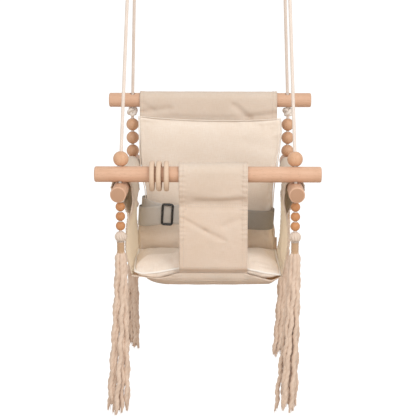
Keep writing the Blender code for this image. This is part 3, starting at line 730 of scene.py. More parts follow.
def make_rope(label, side, end):
    path = smooth_path(rope_route(side, end), spacing=0.0018)
    rope = tube(f"{label}_cotton_rope", path, steady(ROPE_DIAMETER / 2), sides=16)
    finish_piece(rope, "swing", "rope", ROPE_COTTON, f"{label}_rope")


def make_whipping(label, side, end):
    """Waxed thread wound round both legs of the eye."""
    down, across = rope_axes(end)
    half = EYE_RADIUS / 2
    wide, deep = half + ROPE_DIAMETER / 2 + 0.0006, ROPE_DIAMETER / 2 + 0.0006
    coils, steps = 11, 24
    points = []
    for i in range(coils * steps + 1):
        angle = 2 * math.pi * i / steps
        t = 0.034 + 0.0014 * i / steps
        point = down * t + across * (half + wide * math.cos(angle))
        points.append((rope_x(side, end, t) + deep * math.sin(angle), point.x, point.y))
    whipping = tube(f"{label}_eye_whipping", points, steady(0.00078), sides=8)
    finish_piece(whipping, "swing", "wrap_cord", WRAP_CORD)


def make_bar_knot(label, side):
    """An overhand knot under the back bar."""
    tilt = Matrix.Rotation(REAR_LEAN / 2, 3, "X")
    centre = Vector((side * HOLE_X, HOLE_Y, REAR_BEND_Z))
    points = []
    for t in turns(120):
        point = polar(0.0054 + 0.0026 * math.cos(3 * t), 2 * t, 0.0055 * math.sin(3 * t))
        points.append(centre + tilt @ (Matrix.Rotation(side * 0.6, 3, "Z") @ point))
    knot = tube(f"rear_{label}_overhand_knot", points, steady(0.0034), sides=14, closed=True)
    finish_piece(knot, "swing", "rope", KNOT_COTTON, f"rear_{label}_bar_knot")


def make_stopper(label, side, end):
    """The small knot under an arm bar that carries it."""
    centre = Vector((side * HOLE_X, end * HOLE_Y, ARM_Z - 0.0173))
    points = [centre + polar(0.0049, t, 0.0004 * math.sin(2 * t)) for t in turns(48)]
    knot = tube(f"{label}_stopper_knot", points, twisted(0.0026, 0.009, 2, 0.10), sides=12, closed=True)
    finish_piece(knot, "swing", "rope", KNOT_COTTON)


# ---------------------------------------------------------------- tassels


HEAD_DROP = 0.0835
NECK_TOP = 0.0925
NECK_BOTTOM = 0.1118


def make_tassel_head(label, centre):
    """Strands folded over the rope's knot, bulging before they go into the neck."""
    parts = []
    for i, angle in enumerate(turns(11)):
        points = []
        for share in np.linspace(0, 1, 12):
            turn = math.pi * (0.06 + 0.80 * share)
            radius = 0.0078 * math.sin(turn) + 0.0004
            height = 0.0068 * math.cos(turn) + (0.0006 if share < 0.2 else 0.0)
            points.append(centre + polar(radius, angle + 0.35 * share, height))
        points.append(centre + polar(0.0050, angle + 0.4, -0.0098))
        parts.append(tube_part(points, twisted(0.0025, 0.008, 3, 0.16, i), sides=12))
    head = join_parts(f"{label}_tassel_head", parts)
    finish_piece(head, f"{label}_tassel", "rope", HEAD_COTTON, f"{label}_tassel_knot")


def make_tassel_neck(label, centre):
    """Cord wound closely round the strands."""
    pitch, steps = 0.0021, 28
    top, bottom = HEAD_DROP - NECK_TOP, HEAD_DROP - NECK_BOTTOM
    points = []
    for i in range(int((top - bottom) / pitch * steps)):
        angle = 2 * math.pi * i / steps
        z = top - 0.0008 - pitch * i / steps
        points.append(centre + polar(0.0058 + 0.00025 * math.sin(angle * 0.37), angle, z))
    core = [centre + Vector((0, 0, z)) for z in (top, (top + bottom) / 2, bottom)]
    parts = [tube_part(points, steady(0.00112), sides=8), tube_part(core, steady(0.0054), sides=20)]
    neck = join_parts(f"{label}_tassel_neck", parts)
    finish_piece(neck, f"{label}_tassel", "wrap_cord", WRAP_CORD, f"{label}_tassel_wrap")


def strand_points(centre, angle, start, top, bottom, end_drop, phase, drift):
    """One hanging strand, from inside the neck to its tip."""
    length = end_drop - NECK_BOTTOM
    points = []
    count = 110
    for i in range(count + 1):
        share = i / count
        drop = NECK_BOTTOM - 0.002 + (length + 0.002) * share
        spread = top + (bottom - top) * ease(share, -0.15, 1.05)
        radius = start + (spread - start) * ease(share * length, 0.0, 0.011)
        spin = angle + 0.25 * math.sin(2.3 * share + phase)
        sway = 0.0013 * ease(share, 0.02, 0.2)
        x = radius * math.cos(spin) + sway * math.sin(share * length / 0.0075 + phase)
        y = radius * math.sin(spin) + sway * math.cos(share * length / 0.0090 + 2 * phase)
        x += drift[0] * share ** drift[1] + 0.004 * share**3 * math.sin(5 * phase)
        points.append(centre + Vector((x, y, HEAD_DROP - drop)))
    return points


def strand_radius(width, length, phase):
    """A two-ply strand that swells a little out of the neck and thins to a soft point."""
    ply = twisted(1.0, 0.026, 2, 0.20, phase)

    def radius_at(distance, angles):
        share = distance / length
        swell = 0.62 + 0.38 * ease(distance, 0.0, 0.012)
        thin = 1.0 - 0.62 * ease(share, 0.93, 1.0) ** 1.4
        fuzz = 1.0 + 0.06 * noise.noise(Vector((distance / 0.011, phase * 7, 0.0)))
        return width * swell * thin * fuzz * ply(distance, angles)

    return radius_at


def make_tassel_fringe(label, centre, bottoms, drift, spread):
    """Strands round the neck, with a few in the middle and loose fibres at the tips."""
    parts = []
    plans = [(i, 7, 0.0038, 0.0062 * min(spread, 1), 0.0138 * spread, 0.0038) for i in range(7)]
    plans += [(i + 0.4, 4, 0.0015, 0.0028, 0.0080 * spread, 0.0036) for i in range(4)]
    for i, ring, start, top, bottom, width in plans:
        angle = 2 * math.pi * i / ring + 0.3
        phase = float(RANDOM.uniform(0, 6.28))
        end_drop = float(RANDOM.uniform(*bottoms))
        points = strand_points(centre, angle, start, top, bottom, end_drop, phase, drift)
        length = path_length(points)
        parts.append(tube_part(points, strand_radius(width, length, phase), sides=12))
        for turn in turns(7):
            out = polar(1.0, turn + phase)
            base = points[-9] + out * 0.0012
            wide, deep = float(RANDOM.uniform(0.001, 0.0035)), float(RANDOM.uniform(0.001, 0.006))
            tip = points[-1] + out * wide - Vector((0, 0, deep))
            fibre = smooth_path([base, (base + tip) / 2 + out * 0.0012, tip], samples=4)
            parts.append(tube_part(fibre, tapered(0.00075, path_length([base, tip])), sides=5))
    fringe = join_parts(f"{label}_tassel_fringe", parts)
    finish_piece(fringe, f"{label}_tassel", "tassel_cotton", TASSEL_COTTON, f"{label}_tassel_skirt")


def tapered(radius, length):
    return lambda distance, angles: np.full(len(angles), radius * max(0.15, 1 - 0.85 * distance / length))


def make_cords():
    for label, side in SIDES:
        make_bar_knot(label, side)
        for end_name, end in ENDS:
            name = f"{end_name}_{label}"
            make_rope(name, side, end)
            make_whipping(name, side, end)
            make_stopper(name, side, end)
            centre = Vector((side * HOLE_X, end * HOLE_Y, ARM_Z - HEAD_DROP))
            make_tassel_head(name, centre)
            make_tassel_neck(name, centre)
            if end < 0:
                make_tassel_fringe(name, centre, (0.388, 0.412), (-0.0120 - 0.0015 * side, 1.6), 1.15)
            else:
                ends = (0.386, 0.404) if side > 0 else (0.368, 0.386)
                drift = (-0.0140, 1.3) if side > 0 else (-0.0035, 0.4)
                make_tassel_fringe(name, centre, ends, drift, 0.72)


# ---------------------------------------------------------------- canvas panels


def crease(point, start, end, width, depth, lips=0.0):
    """A groove along a line from start to end. lips raises one side of it and lowers the other."""
    at, a, b = Vector(point), Vector(start), Vector(end)
    along = b - a
    t = min(max((at - a).dot(along) / along.length_squared, 0.0), 1.0)
    away = at - (a + along * t)
    distance = away.length / width
    side = math.copysign(1.0, along.x * away.y - along.y * away.x)
    return depth * math.exp(-(distance**2)) * (-1 + lips * side * distance)


def creases(point, folds):
    return sum(crease(point, *fold) for fold in folds)


class Panel:
    """A strip of canvas: a smooth profile in one plane, drawn out sideways from low to high.

    A place is (first, height) in the profile's plane. relief(across, place) is metres along its normal,
    trim(across) is what is cut off its start, and settle(across, place) moves the place in its plane.
    """

    def __init__(self, profile, to_space, low, high, relief=None, trim=None, settle=None):
        dense = smooth_path([(p, z, 0) for p, z in profile], samples=10)
        self.line = even_path([(p.x, p.y) for p in dense], 0.0012)
        along = np.gradient(self.line, axis=0)
        along /= np.linalg.norm(along, axis=1)[:, None]
        self.normal = np.column_stack([along[:, 1], -along[:, 0]])
        self.reach = reach_along(self.line)
        self.length = float(self.reach[-1])
        self.to_space, self.low, self.high = to_space, low, high
        self.relief, self.trim, self.settle = relief, trim, settle

    def read(self, table, distance):
        return [float(np.interp(distance, self.reach, table[:, k])) for k in (0, 1)]

    def at(self, across, distance, lift=0.0):
        if self.trim:
            start = self.trim(across)
            distance = start + distance * (self.length - start) / self.length
        point, normal = self.read(self.line, distance), self.read(self.normal, distance)
        offset = lift + (self.relief(across, point) if self.relief else 0.0)
        place = [point[k] + normal[k] * offset for k in (0, 1)]
        if self.settle:
            place = self.settle(across, place)
        return Vector(self.to_space(place, across))

    def distance_at(self, height):
        """How far along the profile it last comes to a height."""
        heights = self.line[:, 1]
        return float(self.reach[min(range(len(heights) - 1, -1, -1), key=lambda i: abs(heights[i] - height))])

    def cloth(self, name, step=0.003):
        rows = round(self.length / step)
        columns = round((self.high - self.low) / step)
        across = [self.low + (self.high - self.low) * k / columns for k in range(columns + 1)]
        along = [self.length * i / rows for i in range(rows + 1)]
        verts = [self.at(x, distance) for distance in along for x in across]
        faces, uvs = grid_faces([x - self.low for x in across], along, columns + 1, rows + 1)
        obj = new_mesh(name, verts, faces, uvs)
        solid = obj.modifiers.new("thickness", "SOLIDIFY")
        solid.thickness, solid.offset = CLOTH, 0.0
        return apply_modifiers(obj)

    def stitches(self, start, end, lift):
        """A row of stitches between two (across, distance) points, as tube parts."""
        a, b = Vector(start), Vector(end)
        count = int((b - a).length / STITCH_PITCH)
        half = (b - a) / max(count, 1) * STITCH_LENGTH / STITCH_PITCH / 2
        parts = []
        for i in range(count):
            mid = a + (b - a) * (i + 0.5) / count
            path = ((-1, 0.6), (-0.6, 1), (0.6, 1), (1, 0.6))
            points = [self.at(*(mid + half * share), lift * rise) for share, rise in path]
            parts.append(tube_part(points, steady(STITCH_RADIUS), sides=6))
        return parts

    def edge_stitches(self, start, end, lift, rows=EDGE_ROWS):
        """Rows of stitches along both side edges."""
        parts = []
        for inset in rows:
            for across in (self.low + inset, self.high - inset):
                parts += self.stitches((across, start), (across, end), lift)
        return parts

    def cross_stitches(self, distance, lift, inset=0.003):
        return self.stitches((self.low + inset, distance), (self.high - inset, distance), lift)


def along_x(place, x):
    return (x, place[0], place[1])


def along_y(place, y):
    return (place[0], y, place[1])


def sleeve(center, radius, steps=10):
    """The half turn over a bar, from its far side to its near side."""
    angles = [math.pi * i / steps for i in range(steps + 1)]
    return [(center[0] + radius * math.cos(t), center[1] + radius * math.sin(t)) for t in angles]


def hem_relief(across, distance, low, high, seed):
    """The doubled hem along both side edges, and the small puckers that its stitching pulls."""
    edge = min(across - low, high - across)
    double = 0.0007 * (1 - ease(edge, HEM - 0.0012, HEM + 0.0008))
    pull = bump(edge, HEM - 0.001, 0.0035) + bump(edge, 0.0015, 0.0025)
    pucker = math.sin(2 * math.pi * distance / 0.0088 + 3 * wobble((distance, across, seed), 0.03))
    return double + 0.00065 * pull * pucker


def soft_waves(point, size, depth, seed):
    """Gentle unevenness of cloth that has been handled."""
    large = wobble(point, size, seed)
    small = wobble(point, size / 3.1, seed + 5)
    return depth * (large + 0.35 * small)


def waisted(obj):
    """Draws the sides of the back canvas in at the height of the belt."""
    for vertex in obj.data.vertices:
        drop = ARM_Z - vertex.co.z
        vertex.co.x *= 1 - 0.085 * ease(drop, -0.02, 0.05) * (1 - 0.8 * ease(drop, 0.085, 0.135))
    return obj


def make_back_canvas():
    """The back panel: a flap in front of the back bar, over the bar and down behind the cushion."""
    low, high = -0.1385, 0.1325
    profile = [(BACK_BAR.y - 0.0135, ARM_Z + 0.076), (BACK_BAR.y + 0.010, BACK_BAR.z - 0.022)]
    profile += sleeve((BACK_BAR.y, BACK_BAR.z), BAR_SLEEVE)
    profile += [(0.1295, ARM_Z + 0.092), (0.1275, ARM_Z), (0.124, ARM_Z - 0.100), (0.122, ARM_Z - 0.152)]
    folds = (
        ((-0.130, 0.1045), (-0.082, 0.1100), 0.0070, 0.0036, -0.8),
        ((-0.128, 0.1220), (-0.112, 0.1120), 0.0060, 0.0016, 0.8),
        ((0.052, 0.1200), (0.080, 0.0940), 0.0075, 0.0034, 0.9),
        ((0.080, 0.0985), (0.124, 0.1040), 0.0080, 0.0022, 0.8),
    )

    def relief(x, place):
        y, z = place[0], place[1] - ARM_Z
        loose = ease(abs(place[1] - BACK_BAR.z) + abs(y - BACK_BAR.y) * 0.3, 0.006, 0.030)
        offset = soft_waves((x, y, z), 0.055, 0.0011 * loose, 2.0)
        offset += hem_relief(x, z * 0.9 + y, low, high, 1.0) * 0.7
        if y < BACK_BAR.y - 0.008:
            smile = 0.103 - 0.009 * (1 - (x / 0.135) ** 2)
            offset += creases((x, z), folds) - 0.0018 * bump(z, smile, 0.0055)
        return offset

    panel = Panel(profile, along_x, low, high, relief)
    cloth = waisted(panel.cloth("back_canvas_panel"))
    finish_piece(cloth, "swing", "canvas", CANVAS, "back_canvas")
    parts = []
    seam = panel.distance_at(ARM_Z + 0.079)
    for lift in (STITCH_LIFT, -STITCH_LIFT):
        parts += panel.edge_stitches(0.012, panel.length - 0.004, lift)
        parts += panel.cross_stitches(seam, lift)
    stitching = waisted(join_parts("back_canvas_stitching", parts))
    finish_piece(stitching, "swing", "canvas", THREAD)


def make_seat_canvas():
    """The seat's sling, from its folded front rim under the cushion and up to the back panel."""
    low, high = -0.1385, 0.1345
    profile = [(-0.1400, -0.1525), (-0.1395, -0.160), (-0.1360, -0.1680)]
    profile += [(-0.120, -0.1775), (-0.080, -0.1870)]
    profile += [(-0.020, -0.194), (0.040, -0.195), (0.090, -0.189), (0.117, -0.179), (0.1240, -0.165)]
    profile += [(0.1248, -0.145)]
    profile = [(y, ARM_Z + z) for y, z in profile]
    rim = ((-0.1370, 0.0045), (-0.1105, 0.0142), (-0.0968, 0.0149), (-0.0517, 0.0006), (0.0655, 0.0006))
    rim += ((0.0943, 0.0095), (0.1180, 0.0172), (0.1345, 0.0160))

    def trim(x):
        """How far the front edge is cut back, which lets it dip at both legs."""
        return read_edge(rim, x)

    def relief(x, place):
        y, z = place[0], place[1] - ARM_Z
        near = ease(-y, 0.100, 0.128)
        sag = 0.002 * (1 - (x / 0.13) ** 2)
        folds = math.sin(2 * math.pi * (z + sag) / 0.0058 + 2.5 * wobble((x, y, z), 0.06, 4))
        offset = 0.0016 * near * folds * (1 - ease(abs(x - 0.010), 0.050, 0.120))
        offset += soft_waves((x, y, z), 0.060, 0.0016 * (1 - 0.6 * near), 9.0)
        return offset + hem_relief(x, y, low, high, 3.0) * 0.6

    def settle(x, place):
        y, z = place
        front = ease(-y, 0.030, 0.130)
        side_z = ARM_Z - 0.1705 + 0.0105 * front
        start = 0.108 - (0.046 * front if x < 0 else 0.0)
        return (y, z + (side_z - z) * ease(abs(x), start, 0.140) if z < side_z else z)

    panel = Panel(profile, along_x, low, high, relief, trim, settle)
    cloth = panel.cloth("seat_canvas_panel")
    finish_piece(cloth, "swing", "canvas", CANVAS, "seat_canvas")
    parts = []
    for distance in (0.0022, 0.0075, panel.length - 0.006):
        parts += panel.cross_stitches(distance, STITCH_LIFT, 0.004)
    parts += panel.edge_stitches(0.010, panel.length - 0.008, STITCH_LIFT, (0.006,))
    for x in (-0.048, 0.0665):
        parts += panel.stitches((x, 0.002), (x, 0.014), STITCH_LIFT)
    finish_piece(join_parts("seat_canvas_stitching", parts), "swing", "canvas", THREAD)


def make_wing(label, side):
    """A side wing, with its sleeve round the arm bar."""
    low, high = -0.1325, 0.1335
    inner = HOLE_X - 0.0172
    arc = [(2 * HOLE_X - x, z - ARM_Z) for x, z in sleeve((HOLE_X, ARM_Z), 0.0170)]
    profile = [(0.1408, -0.0490), (0.1402, -0.0360), (0.1392, -0.0210), (inner + 0.0010, -0.006), *arc]
    profile += [(0.1690, -0.0110), (0.1625, -0.0185), (0.1535, -0.0285)]
    profile += [(0.1462, -0.0405), (0.1425, -0.0515)]
    profile += [(0.1440, -0.065), (0.1455, -0.080), (0.1472, -0.104), (0.1470, -0.126), (0.1460, -0.1430)]
    profile += [(0.1440, -0.1560), (0.1425, -0.1650), (0.1395, -0.1715)]
    lean = 0.0045 if side > 0 else 0.0005
    profile = [(x - lean * ease(-z, 0.06, 0.13), z) for x, z in profile]
    profile = [(side * x, ARM_Z + z) for x, z in profile]

    def relief(y, place):
        x, z = abs(place[0]), place[1] - ARM_Z
        loose = ease(-z, 0.030, 0.075)
        tall = (y, x, z / 2.8)
        offset = soft_waves(tall, 0.045, 0.0026 * loose, 11.0 + side)
        offset += crease((y, z), (-0.118, -0.045), (-0.090, -0.150), 0.012, 0.0022 * loose, 0.5)
        offset += crease((y, z), (0.100, -0.045), (0.070, -0.150), 0.014, 0.0024 * loose, -0.5)
        return offset * side + hem_relief(y, z, low, high, 6.0 + side) * 0.7

    def settle(y, place):
        """The inner layer hangs out at the front, where the wing's lower corner is drawn up and in."""
        x, z = abs(place[0]), place[1] - ARM_Z
        loose = bump(z, -0.024, 0.022) * (1 - ease(x, 0.1415, 0.1450))
        corner = ease(-y, 0.030, 0.130) * ease(-z, 0.110, 0.165)
        out = 0.0045 * loose * y / 0.132 - 0.0035 * corner
        return (place[0] + side * out, place[1] + 0.0105 * corner)

    panel = Panel(profile, along_y, low, high, relief, settle=settle)
    cloth = panel.cloth(f"{label}_side_wing")
    finish_piece(cloth, "swing", "canvas", WING_CANVAS, f"{label}_side_canvas")
    parts = []
    seams = [panel.distance_at(ARM_Z - 0.055), panel.distance_at(ARM_Z - 0.160)]
    for lift in (STITCH_LIFT, -STITCH_LIFT):
        parts += panel.edge_stitches(0.004, panel.length - 0.004, lift)
        for distance in seams:
            parts += panel.cross_stitches(distance, lift)
    finish_piece(join_parts(f"{label}_wing_stitching", parts), "swing", "canvas", THREAD)


def make_crotch_panel():
    """The panel between the legs: a sleeve over the front bar, then down to the seat's front edge."""
    low, high = -0.0510, 0.0707
    y0, z0 = FRONT_BAR.y, FRONT_BAR.z - ARM_Z
    profile = [(y0 + 0.0060, z0 - 0.0535), (y0 + 0.0155, z0 - 0.018)]
    profile += [(y, z0 + (z - z0) * 1.20) for y, z in sleeve((y0, z0), BAR_SLEEVE)]
    profile += [(y0 - 0.0155, z0 - 0.026), (y0 - 0.0040, z0 - 0.0545), (y0 - 0.0055, z0 - 0.0700)]
    profile += [(-0.1552, -0.090), (-0.1515, -0.125), (-0.1492, -0.1425), (-0.1462, -0.1452)]
    profile += [(-0.1425, -0.1475), (-0.1380, -0.1508), (-0.1366, -0.157)]
    profile = [(y, ARM_Z + z) for y, z in profile]
    seam_z = -0.0264
    folds = (
        ((-0.020, -0.0185), (0.060, -0.0150), 0.0060, 0.0020, 0.6),
        ((-0.0385, -0.052), (-0.003, -0.072), 0.0050, 0.0020, 0.9),
        ((-0.003, -0.072), (0.030, -0.089), 0.0060, 0.0016, 0.9),
        ((-0.040, -0.104), (-0.024, -0.119), 0.0042, 0.0024, 0.8),
        ((-0.042, -0.126), (-0.030, -0.135), 0.0040, 0.0022, 0.8),
        ((-0.030, -0.113), (0.055, -0.111), 0.0055, 0.0018, 0.8),
        ((0.030, -0.060), (0.055, -0.050), 0.0070, 0.0014, 0.8),
    )

    def relief(x, place):
        y, z = place[0], place[1] - ARM_Z
        loose = ease(abs(z - z0), 0.004, 0.030)
        offset = soft_waves((x, y, z), 0.040, 0.0011 * loose, 21.0)
        if y < y0 - 0.004:
            belly = -0.0045 - 0.004 * (1 - ((x - 0.01) / 0.06) ** 2)
            offset += hem_relief(x, z, low, high, 8.0) - 0.0012 * bump(z, seam_z, 0.0016)
            offset += 0.0030 * bump(z, belly, 0.0075) * bump(x, 0.025, 0.045)
            offset += creases((x, z), folds)
        return offset

    panel = Panel(profile, along_x, low, high, relief)
    cloth = panel.cloth("crotch_canvas_panel", step=0.0022)
    parts = []
    outside = CLOTH / 2 + 0.00025
    start = panel.distance_at(ARM_Z + z0 + 0.010)
    seam = panel.distance_at(ARM_Z + seam_z)
    end = panel.distance_at(ARM_Z - 0.1395)
    parts += panel.edge_stitches(start, end, outside, (0.0020, HEM - 0.0010))
    for distance in (seam - 0.0014, seam + 0.0016, end):
        parts += panel.cross_stitches(distance, outside, 0.002)
    for x in (low + HEM + 0.003, high - HEM - 0.003):
        for distance in (seam + 0.0060, seam + 0.0074):
            parts += panel.stitches((x - 0.003, distance), (x + 0.003, distance), outside)
    stitching = join_parts("crotch_canvas_stitching", parts)
    for obj, look in ((cloth, CANVAS), (stitching, THREAD)):
        obj.data.materials.append(look)
        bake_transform(obj)
    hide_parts("crotch_panel")


# ---------------------------------------------------------------- cushions


CUSHION_HALF_WIDTH = 0.13
COVER_WIDTH = 0.27


def pillow(name, middle_at, half_at, columns, rows, cap, pressure=4.0):
    """A stuffed cover: two crowned faces that meet in a seam, swollen and wrinkled as cloth.

    middle_at(u, v) is a point of the mid surface and its outward normal, half_at(u, v) half the thickness.
    """
    verts, faces, uvs = [], [], []
    index = {}
    size = COVER_WIDTH / columns

    def corner(i, k, face):
        edge = i in (0, rows) or k in (0, columns)
        key = (i, k, 0 if edge else face)
        if key not in index:
            u, v = 2 * k / columns - 1, i / rows
            point, normal = middle_at(u, v)
            thick = 0.0 if edge else half_at(u, v)
            index[key] = len(verts)
            verts.append(point + normal * thick * face)
        return index[key]

    for face in (1, -1):
        for i in range(rows):
            for k in range(columns):
                square = [(i, k), (i, k + 1), (i + 1, k + 1), (i + 1, k)]
                faces.append(tuple([corner(*place, face) for place in square][::face]))
                uvs.append([(b * size, a * size) for a, b in square[::face]])
    seam = [index[key] for key in index if key[2] == 0]
    obj = new_mesh(name, verts, faces, uvs)
    swell(obj, seam, cap, pressure)
    finer = obj.modifiers.new("finer", "SUBSURF")
    finer.levels = finer.render_levels = 1
    return apply_modifiers(obj)


def swell(obj, seam, cap, pressure):
    """Inflates the cover as slightly slack cloth held along its seam. No point moves further than cap."""
    start = [v.co.copy() for v in obj.data.vertices]
    group = obj.vertex_groups.new(name="seam")
    group.add(seam, 1.0, "REPLACE")
    cloth = obj.modifiers.new("cloth", "CLOTH")
    settings = cloth.settings
    settings.quality = 6
    settings.mass = 0.15
    settings.tension_stiffness = settings.compression_stiffness = 18
    settings.shear_stiffness = 6
    settings.bending_stiffness = 0.25
    settings.use_pressure = True
    settings.uniform_pressure_force = pressure
    settings.shrink_min = -0.035
    settings.vertex_group_mass = "seam"
    settings.effector_weights.gravity = 0
    cloth.collision_settings.use_collision = False
    scene = bpy.context.scene
    for step in range(1, 21):
        scene.frame_set(step)
    graph = bpy.context.evaluated_depsgraph_get()
    swollen = obj.evaluated_get(graph).data
    moved = [v.co.copy() for v in swollen.vertices]
    obj.modifiers.clear()
    obj.vertex_groups.clear()
    for vertex, before, after in zip(obj.data.vertices, start, moved):
        shift = after - before
        if shift.length > cap:
            shift *= cap / shift.length
        vertex.co = before + shift
    scene.frame_set(1)


SEAT_LIP_Y = -0.134
CUSHION_GAP = CLOTH + 0.0010


def lay_on(cushion, canvas, inward, search=0.08):
    """Presses a cushion in to the canvas that carries it. The lip over the seat's front edge stays free.

    inward is the way from the canvas to the cushion, and search how far in front of it the canvas can be.
    """
    mesh = canvas.data
    cloth = BVHTree.FromPolygons([v.co for v in mesh.vertices], [p.vertices for p in mesh.polygons])
    way = Vector(inward)
    for vertex in cushion.data.vertices:
        place = cloth.ray_cast(vertex.co - way * search, way)[0]
        if place is not None and vertex.co.y > SEAT_LIP_Y:
            vertex.co -= way * min((vertex.co - place).dot(way) - CUSHION_GAP, 0.0)


def seam_loop(middle_at, columns=60, rows=50):
    """Points round a cushion's seam."""
    loop = [(2 * k / columns - 1, 0.0) for k in range(columns)]
    loop += [(1.0, i / rows) for i in range(rows)]
    loop += [(1 - 2 * k / columns, 1.0) for k in range(columns)]
    loop += [(-1.0, 1 - i / rows) for i in range(rows)]
    return [middle_at(u, v)[0] for u, v in loop]


BACK_LEFT_EDGE = ((-0.178, -0.1400), (-0.165, -0.1420), (-0.13, -0.1425), (-0.105, -0.1395))
BACK_LEFT_EDGE += ((-0.080, -0.1315), (-0.063, -0.1275))
BACK_LEFT_EDGE += ((-0.045, -0.1285), (-0.005, -0.1365), (0.030, -0.1385), (0.097, -0.1400))
BACK_RIGHT_EDGE = ((-0.178, 0.1280), (-0.165, 0.1285), (-0.135, 0.1270), (-0.097, 0.1240))
BACK_RIGHT_EDGE += ((-0.045, 0.1270), (-0.005, 0.1320))
BACK_RIGHT_EDGE += ((0.030, 0.1370), (0.070, 0.1410), (0.097, 0.1395))
SEAT_LEFT_EDGE = ((0.0, -0.1325), (0.3, -0.1365), (0.6, -0.1395), (1.0, -0.1405))
SEAT_FRONT_SEAM = ((-0.133, -0.1525), (-0.118, -0.1570), (-0.090, -0.1540), (-0.054, -0.1470), (0.0, -0.1455))
SEAT_FRONT_SEAM += ((0.069, -0.1470), (0.103, -0.1545), (0.131, -0.1585))
SEAT_SLOPE = ((0.0, -0.1480), (0.18, -0.1535), (0.4, -0.1630), (0.75, -0.1715), (1.0, -0.1720))


def make_back_cushion():
    bottom, top = -0.1780, 0.0975
    folds = (
        ((-0.060, 0.020), (-0.035, 0.050), 0.010, 0.0022, 0.8),
        ((0.060, 0.018), (0.100, 0.050), 0.010, 0.0022, 0.8),
        ((0.070, 0.205), (0.122, 0.190), 0.012, 0.0018, 0.8),
        ((-0.120, 0.150), (-0.050, 0.140), 0.016, 0.0010, 0.8),
    )

    def middle_at(u, v):
        z = bottom + (top - bottom) * v
        left, right = read_edge(BACK_LEFT_EDGE, z), read_edge(BACK_RIGHT_EDGE, z)
        x = left + (right - left) * (u + 1) / 2
        sag = 0.0062 * (1 - u * u) * ease(v, 0.45, 1.0) + 0.0022 * u * v**4
        y = 0.1080 + 0.0070 * v
        return Vector((x, y, ARM_Z + z - sag)), Vector((0, -1, 0.04))

    def half_at(u, v):
        side = 1 - abs(u) ** 7
        ends = 1 - abs(2 * v - 1) ** 7
        across, up = u * CUSHION_HALF_WIDTH, v * 0.24
        dents = 0.0014 * wobble((across, 0.0, up), 0.07, 31.0)
        base = 0.0118 * (side * ends) ** 0.45 + dents * side * ends
        bulge = 0.0110 * bump(v, 0.09, 0.14) - 0.0030 * bump(v, 0.372, 0.060)
        return base + (bulge + creases((across, up), folds)) * side * ends

    cushion = pillow("back_cushion_pad", middle_at, half_at, 66, 62, 0.006)
    lay_on(cushion, bpy.data.objects["back_canvas_panel"], (0, -1, 0))
    finish_piece(cushion, "swing", "cushion_canvas", CUSHION_CANVAS, "back_cushion")
    seam = tube("back_cushion_seam", seam_loop(middle_at), steady(0.0010), sides=8, closed=True)
    finish_piece(seam, "swing", "cushion_canvas", CUSHION_CANVAS)


def make_seat_cushion():
    folds = (
        ((-0.125, 0.165), (-0.045, 0.170), 0.007, 0.0016, 0.8),
        ((-0.060, 0.010), (-0.052, 0.060), 0.006, -0.0030, 0.5),
    )

    def middle_at(u, v):
        left, right = read_edge(SEAT_LEFT_EDGE, v), 0.1300
        x = left + (right - left) * (u + 1) / 2
        y = -0.1310 + 0.2230 * v
        flat = read_edge(SEAT_SLOPE, v)
        front = (1 - v) ** 5
        z = flat * (1 - front) + read_edge(SEAT_FRONT_SEAM, x) * front
        lip = 0.8 * (1 - v) ** 8
        rise = 0.008 * abs(u) ** 3 * ease(v, 0.1, 0.7)
        return Vector((x, y, ARM_Z + z + rise)), Vector((0, lip, 1)).normalized()

    def half_at(u, v):
        side = 1 - abs(u) ** 6
        ends = 1 - abs(2 * v - 1) ** 7
        across = u * CUSHION_HALF_WIDTH
        dents = 0.0014 * wobble((across, v * 0.24, 0.0), 0.06, 41.0)
        crown = 0.0175 - 0.0065 * ease(v, 0.50, 0.95)
        hollow = -0.0050 * bump(u, 0.06, 0.30) * bump(v, 0.10, 0.25)
        wrinkles = dents + creases((across, v * 0.23), folds)
        return (crown + hollow) * (side * ends) ** 0.42 + wrinkles * side * ends

    cushion = pillow("seat_cushion_pad", middle_at, half_at, 64, 58, 0.007)
    lay_on(cushion, bpy.data.objects["seat_canvas_panel"], (0, 0, 1))
    finish_piece(cushion, "swing", "cushion_canvas", CUSHION_CANVAS, "seat_cushion")
    cord = tube("seat_cushion_piping", seam_loop(middle_at), steady(0.0019), sides=10, closed=True)
    finish_piece(cord, "swing", "cushion_canvas", PIPING)


# ---------------------------------------------------------------- belt and buckle


BELT_Y = 0.071
BELT_TILT = math.radians(3.72)
BELT_FRAME = Matrix.Translation((0, 0, ARM_Z - 0.0929)) @ Matrix.Rotation(BELT_TILT, 4, "Y")
WEBBING_WIDTH = 0.038
WEBBING = 0.0015
SLIDER_X = -0.0826
SLIDER_WIDTH, SLIDER_HEIGHT = 0.0235, 0.0436


